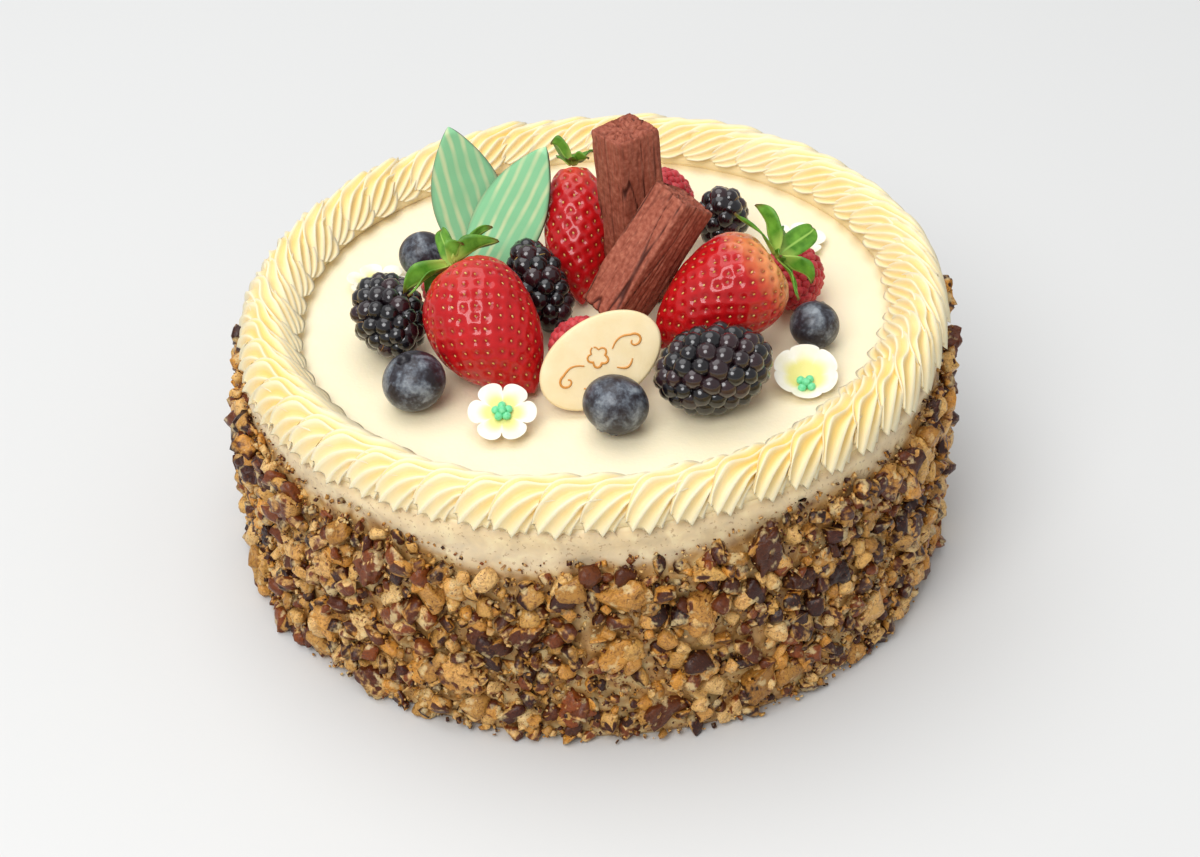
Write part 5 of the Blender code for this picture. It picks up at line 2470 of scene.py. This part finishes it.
def strawberries() -> list[Strawberry]:
    """Places the strawberries where the solids are.

    A leaf of the crown is (direction, length, width, rise, twist); a twist above zero raises its
    left side.

    Returns:
        The three strawberries.
    """
    return [
        Strawberry("left", on_icing(-16.0, -43.4, 2.8), on_icing(-39.4, -17.8, 29.6), 30.6,
                   ((348, 6.5, 5, 3, -3), (12, 15, 5, -1.2, -3.5), (32, 17, 3, 4.5, -2),
                    (62, 5, 5.5, 11, 0), (110, 10, 5, 3, 0), (150, 14, 4.5, -1.5, 2),
                    (190, 16, 6, 1, 3.5), (218, 17, 3, -2.2, 0)),
                   StrawberrySkin("strawberry_skin_left", "#CE4630", 0.9), 0.6, (-1.4, -0.6, -0.8)),
        Strawberry("back", on_icing(-2.9, 2.7, 1.6), on_icing(-5.8, 30.0, 32.8), 19.2,
                   ((30, 8, 4, 4.5, 0), (80, 6, 4, 4, 0), (125, 8, 4, 4, 0),
                    (205, 6.5, 4.5, 6.5, 2.5), (262, 5, 3, 1, 0), (325, 6, 3.5, 1, -1.5)),
                   StrawberrySkin("strawberry_skin_back", "#D2492F", 0.88), 0.52),
        Strawberry("right", on_icing(17.6, -29.6, 7.8), on_icing(52.0, -16.8, 27.2), 29.6,
                   ((20, 9, 4, 1, 0), (75, 5.5, 6.5, 13.5, 0), (118, 8, 5, 6, 1.5),
                    (162, 15.5, 6, 4, 3.5), (188, 19, 3.5, -2.6, 0), (255, 6, 3.5, 1, 0),
                    (308, 16, 2.5, -2, 0), (338, 12, 5, 4, -3.5)),
                   StrawberrySkin("strawberry_skin_right", "#F8B06A", 0.86), 0.7),
    ]


def bumpy_berries() -> list[BumpyBerry]:
    """Places the brambles and raspberries where the solids are.

    Returns:
        The eight berries.
    """
    bramble, raspberry = BerryKind.BRAMBLE, BerryKind.RASPBERRY
    places = [
        ("bramble_left", bramble, (-64.0, 0.5, 12.8), (-53.4, -30.4, 11.8), 11.4),
        ("bramble_middle", bramble, (-21.0, 2.0, 26.0), (-9.0, -14.0, 2.8), 8.8),
        ("bramble_back", bramble, (39.5, 31.0, 22.6), (39.0, 33.0, 0.6), 8.8),
        ("bramble_front", bramble, (50.4, -44.6, 13.6), (17.8, -56.4, 13.6), 13.1),
        ("raspberry_left", raspberry, (-42.0, 3.0, 18.4), (-42.0, 3.0, 0.5), 8.8),
        ("raspberry_front", raspberry, (-12.6, -31.1, 9.6), (9.4, -31.1, 9.2), 9.0),
        ("raspberry_back", raspberry, (21.0, 42.0, 23.0), (21.0, 42.0, 0.5), 10.5),
        ("raspberry_right", raspberry, (60.0, 12.6, 9.6), (58.6, -11.4, 9.6), 9.2),
    ]
    return [BumpyBerry(name, kind, on_icing(*crown), on_icing(*tip), radius)
            for name, kind, crown, tip, radius in places]


def blueberries() -> list[Blueberry]:
    """Places the blueberries where the solids are.

    Returns:
        The four blueberries.
    """
    return [
        Blueberry("back", on_icing(-51.5, 24.5, 7.6), Vector((0.3, -0.5, -0.4)), 7.3, 7.0),
        Blueberry("left", on_icing(-49.8, -43.8, 8.8), Vector((-0.32, -0.04, 0.95)), 9.1, 8.2),
        Blueberry("front", on_icing(6.9, -59.6, 9.2), Vector((-0.3, -0.5, -0.8)), 9.3, 8.2),
        Blueberry("right", on_icing(64.0, -22.3, 7.4), Vector((0.2, 0.7, 0.4)), 7.2, 6.9),
    ]


def sugar_flowers() -> list[SugarFlower]:
    """Places the sugar flowers where the solids are.

    Returns:
        The four flowers.
    """
    return [
        SugarFlower("front_left", on_icing(-24.5, -56.7, 5.4), 9.6, 1.6, 0.88, 24.0, 0.0),
        SugarFlower("front_right", on_icing(60.4, -40.4, 1.8), 9.3, 3.8, 0.97, 20.0, 30.0, 5,
                    (0.0, -3.2, -0.6)),
        SugarFlower("back_left", on_icing(-65.2, 18.5, 0.9), 9.3, 2.6, 0.88, 0.0, 50.0),
        SugarFlower("back_right", on_icing(62.0, 31.5, 0.9), 9.3, 2.6, 0.9, 0.0, 10.0),
    ]


def build_fruit(workshop: Workshop) -> None:
    """Makes every berry.

    Args:
        workshop: runs the Geometry Nodes trees.
    """
    seed_finish = Toned("strawberry_achene", "#A0602A", "#C8963F", "#DCBC6C", 0.4, coat=0.3).make()
    leaf_finish = GreenLeaf().make()
    for berry in strawberries():
        berry.build(workshop, seed_finish, leaf_finish)
    skins = {
        BerryKind.BRAMBLE: Toned(
            "bramble_drupelet", "#0A080B", "#0F0B10", "#2E161B", 0.2, 1.2, 0.04, coat=0.7,
            core_shade_colour="#140A0C",
        ).make(),
        BerryKind.RASPBERRY: Toned(
            "raspberry_drupelet", "#9C1420", "#BE2A32", "#CC4448", 0.5, 0.5, 0.05, sheen=0.2,
            core_shade_colour="#6C0C16",
        ).make(),
    }
    hair_finish = Toned("dried_style", "#8A5A24", "#B8823A", "#DDB35C", 0.5).make()
    for berry in bumpy_berries():
        berry.build(workshop, skins[berry.kind])
        if berry.kind is BerryKind.BRAMBLE:
            berry.build_hairs(workshop, hair_finish)
    bloom = BlueberrySkin().make()
    for berry in blueberries():
        berry.build(bloom)


def build_sweets(workshop: Workshop) -> None:
    """Makes the chocolate, the plaque and the sugar flowers.

    Args:
        workshop: runs the Geometry Nodes trees.
    """
    milk = MilkChocolate().make()
    sticks = [
        ChocolateStick("upright", on_icing(14.7, 7.6, 0.8), on_icing(9.4, 8.6, 57.0), 14.6, 13.8,
                       37.0, 3.0),
        ChocolateStick("leaning", on_icing(5.4, -18.8, 12.0), on_icing(26.3, -8.0, 43.6), 14.4,
                       14.4, 40.0, 11.0),
    ]
    for stick in sticks:
        stick.build(milk)
    mint = MintChocolate().make()
    leaves = [
        ChocolateLeaf("left", on_icing(-30.6, 17.2, 1.0), on_icing(-42.5, 29.3, 48.7), 22.0, 6.7),
        ChocolateLeaf("right", on_icing(-38.5, 9.2, 1.0), on_icing(-13.5, 22.0, 44.7), 22.0, -26.7),
    ]
    for leaf in leaves:
        leaf.build(mint)
    plaque = Plaque()
    plaque.build(Confection("white_chocolate", "#E9D3A4", "#EDDAB0", 0.36).make())
    plaque.build_scroll(workshop, Confection("piped_caramel", "#C9832F", "#D69240", 0.35).make())
    paste = Confection("sugar_paste", "#ECE7D0", "#F5F2E6", 0.5, blush="#E4DC88").make()
    beads = Confection("sugar_beads", "#62CF92", "#7FDCA4", 0.45, 0.9, 0.35, 0.12).make()
    for flower in sugar_flowers():
        flower.build(paste)
        flower.build_beads(workshop, beads)


def main() -> None:
    """Builds the cake from the frosting outwards, then the studio."""
    logging.basicConfig(level=logging.INFO, format="%(message)s")
    workshop = Workshop()
    coat = WalnutCoat()
    FrostedBody().build(coat, Frosting("spread_frosting", specks_and_shade=True).make())
    walnut = WalnutKernel().make()
    coat.build_pieces(walnut)
    coat.build_chips(workshop, walnut)
    coat.build_crumbs(workshop, walnut)
    RopeBorder().build(workshop, Frosting("piped_frosting", "#F5E6BE", "#EFC664").make())
    build_fruit(workshop)
    build_sweets(workshop)
    Studio().build()


if __name__ == "__main__":
    main()
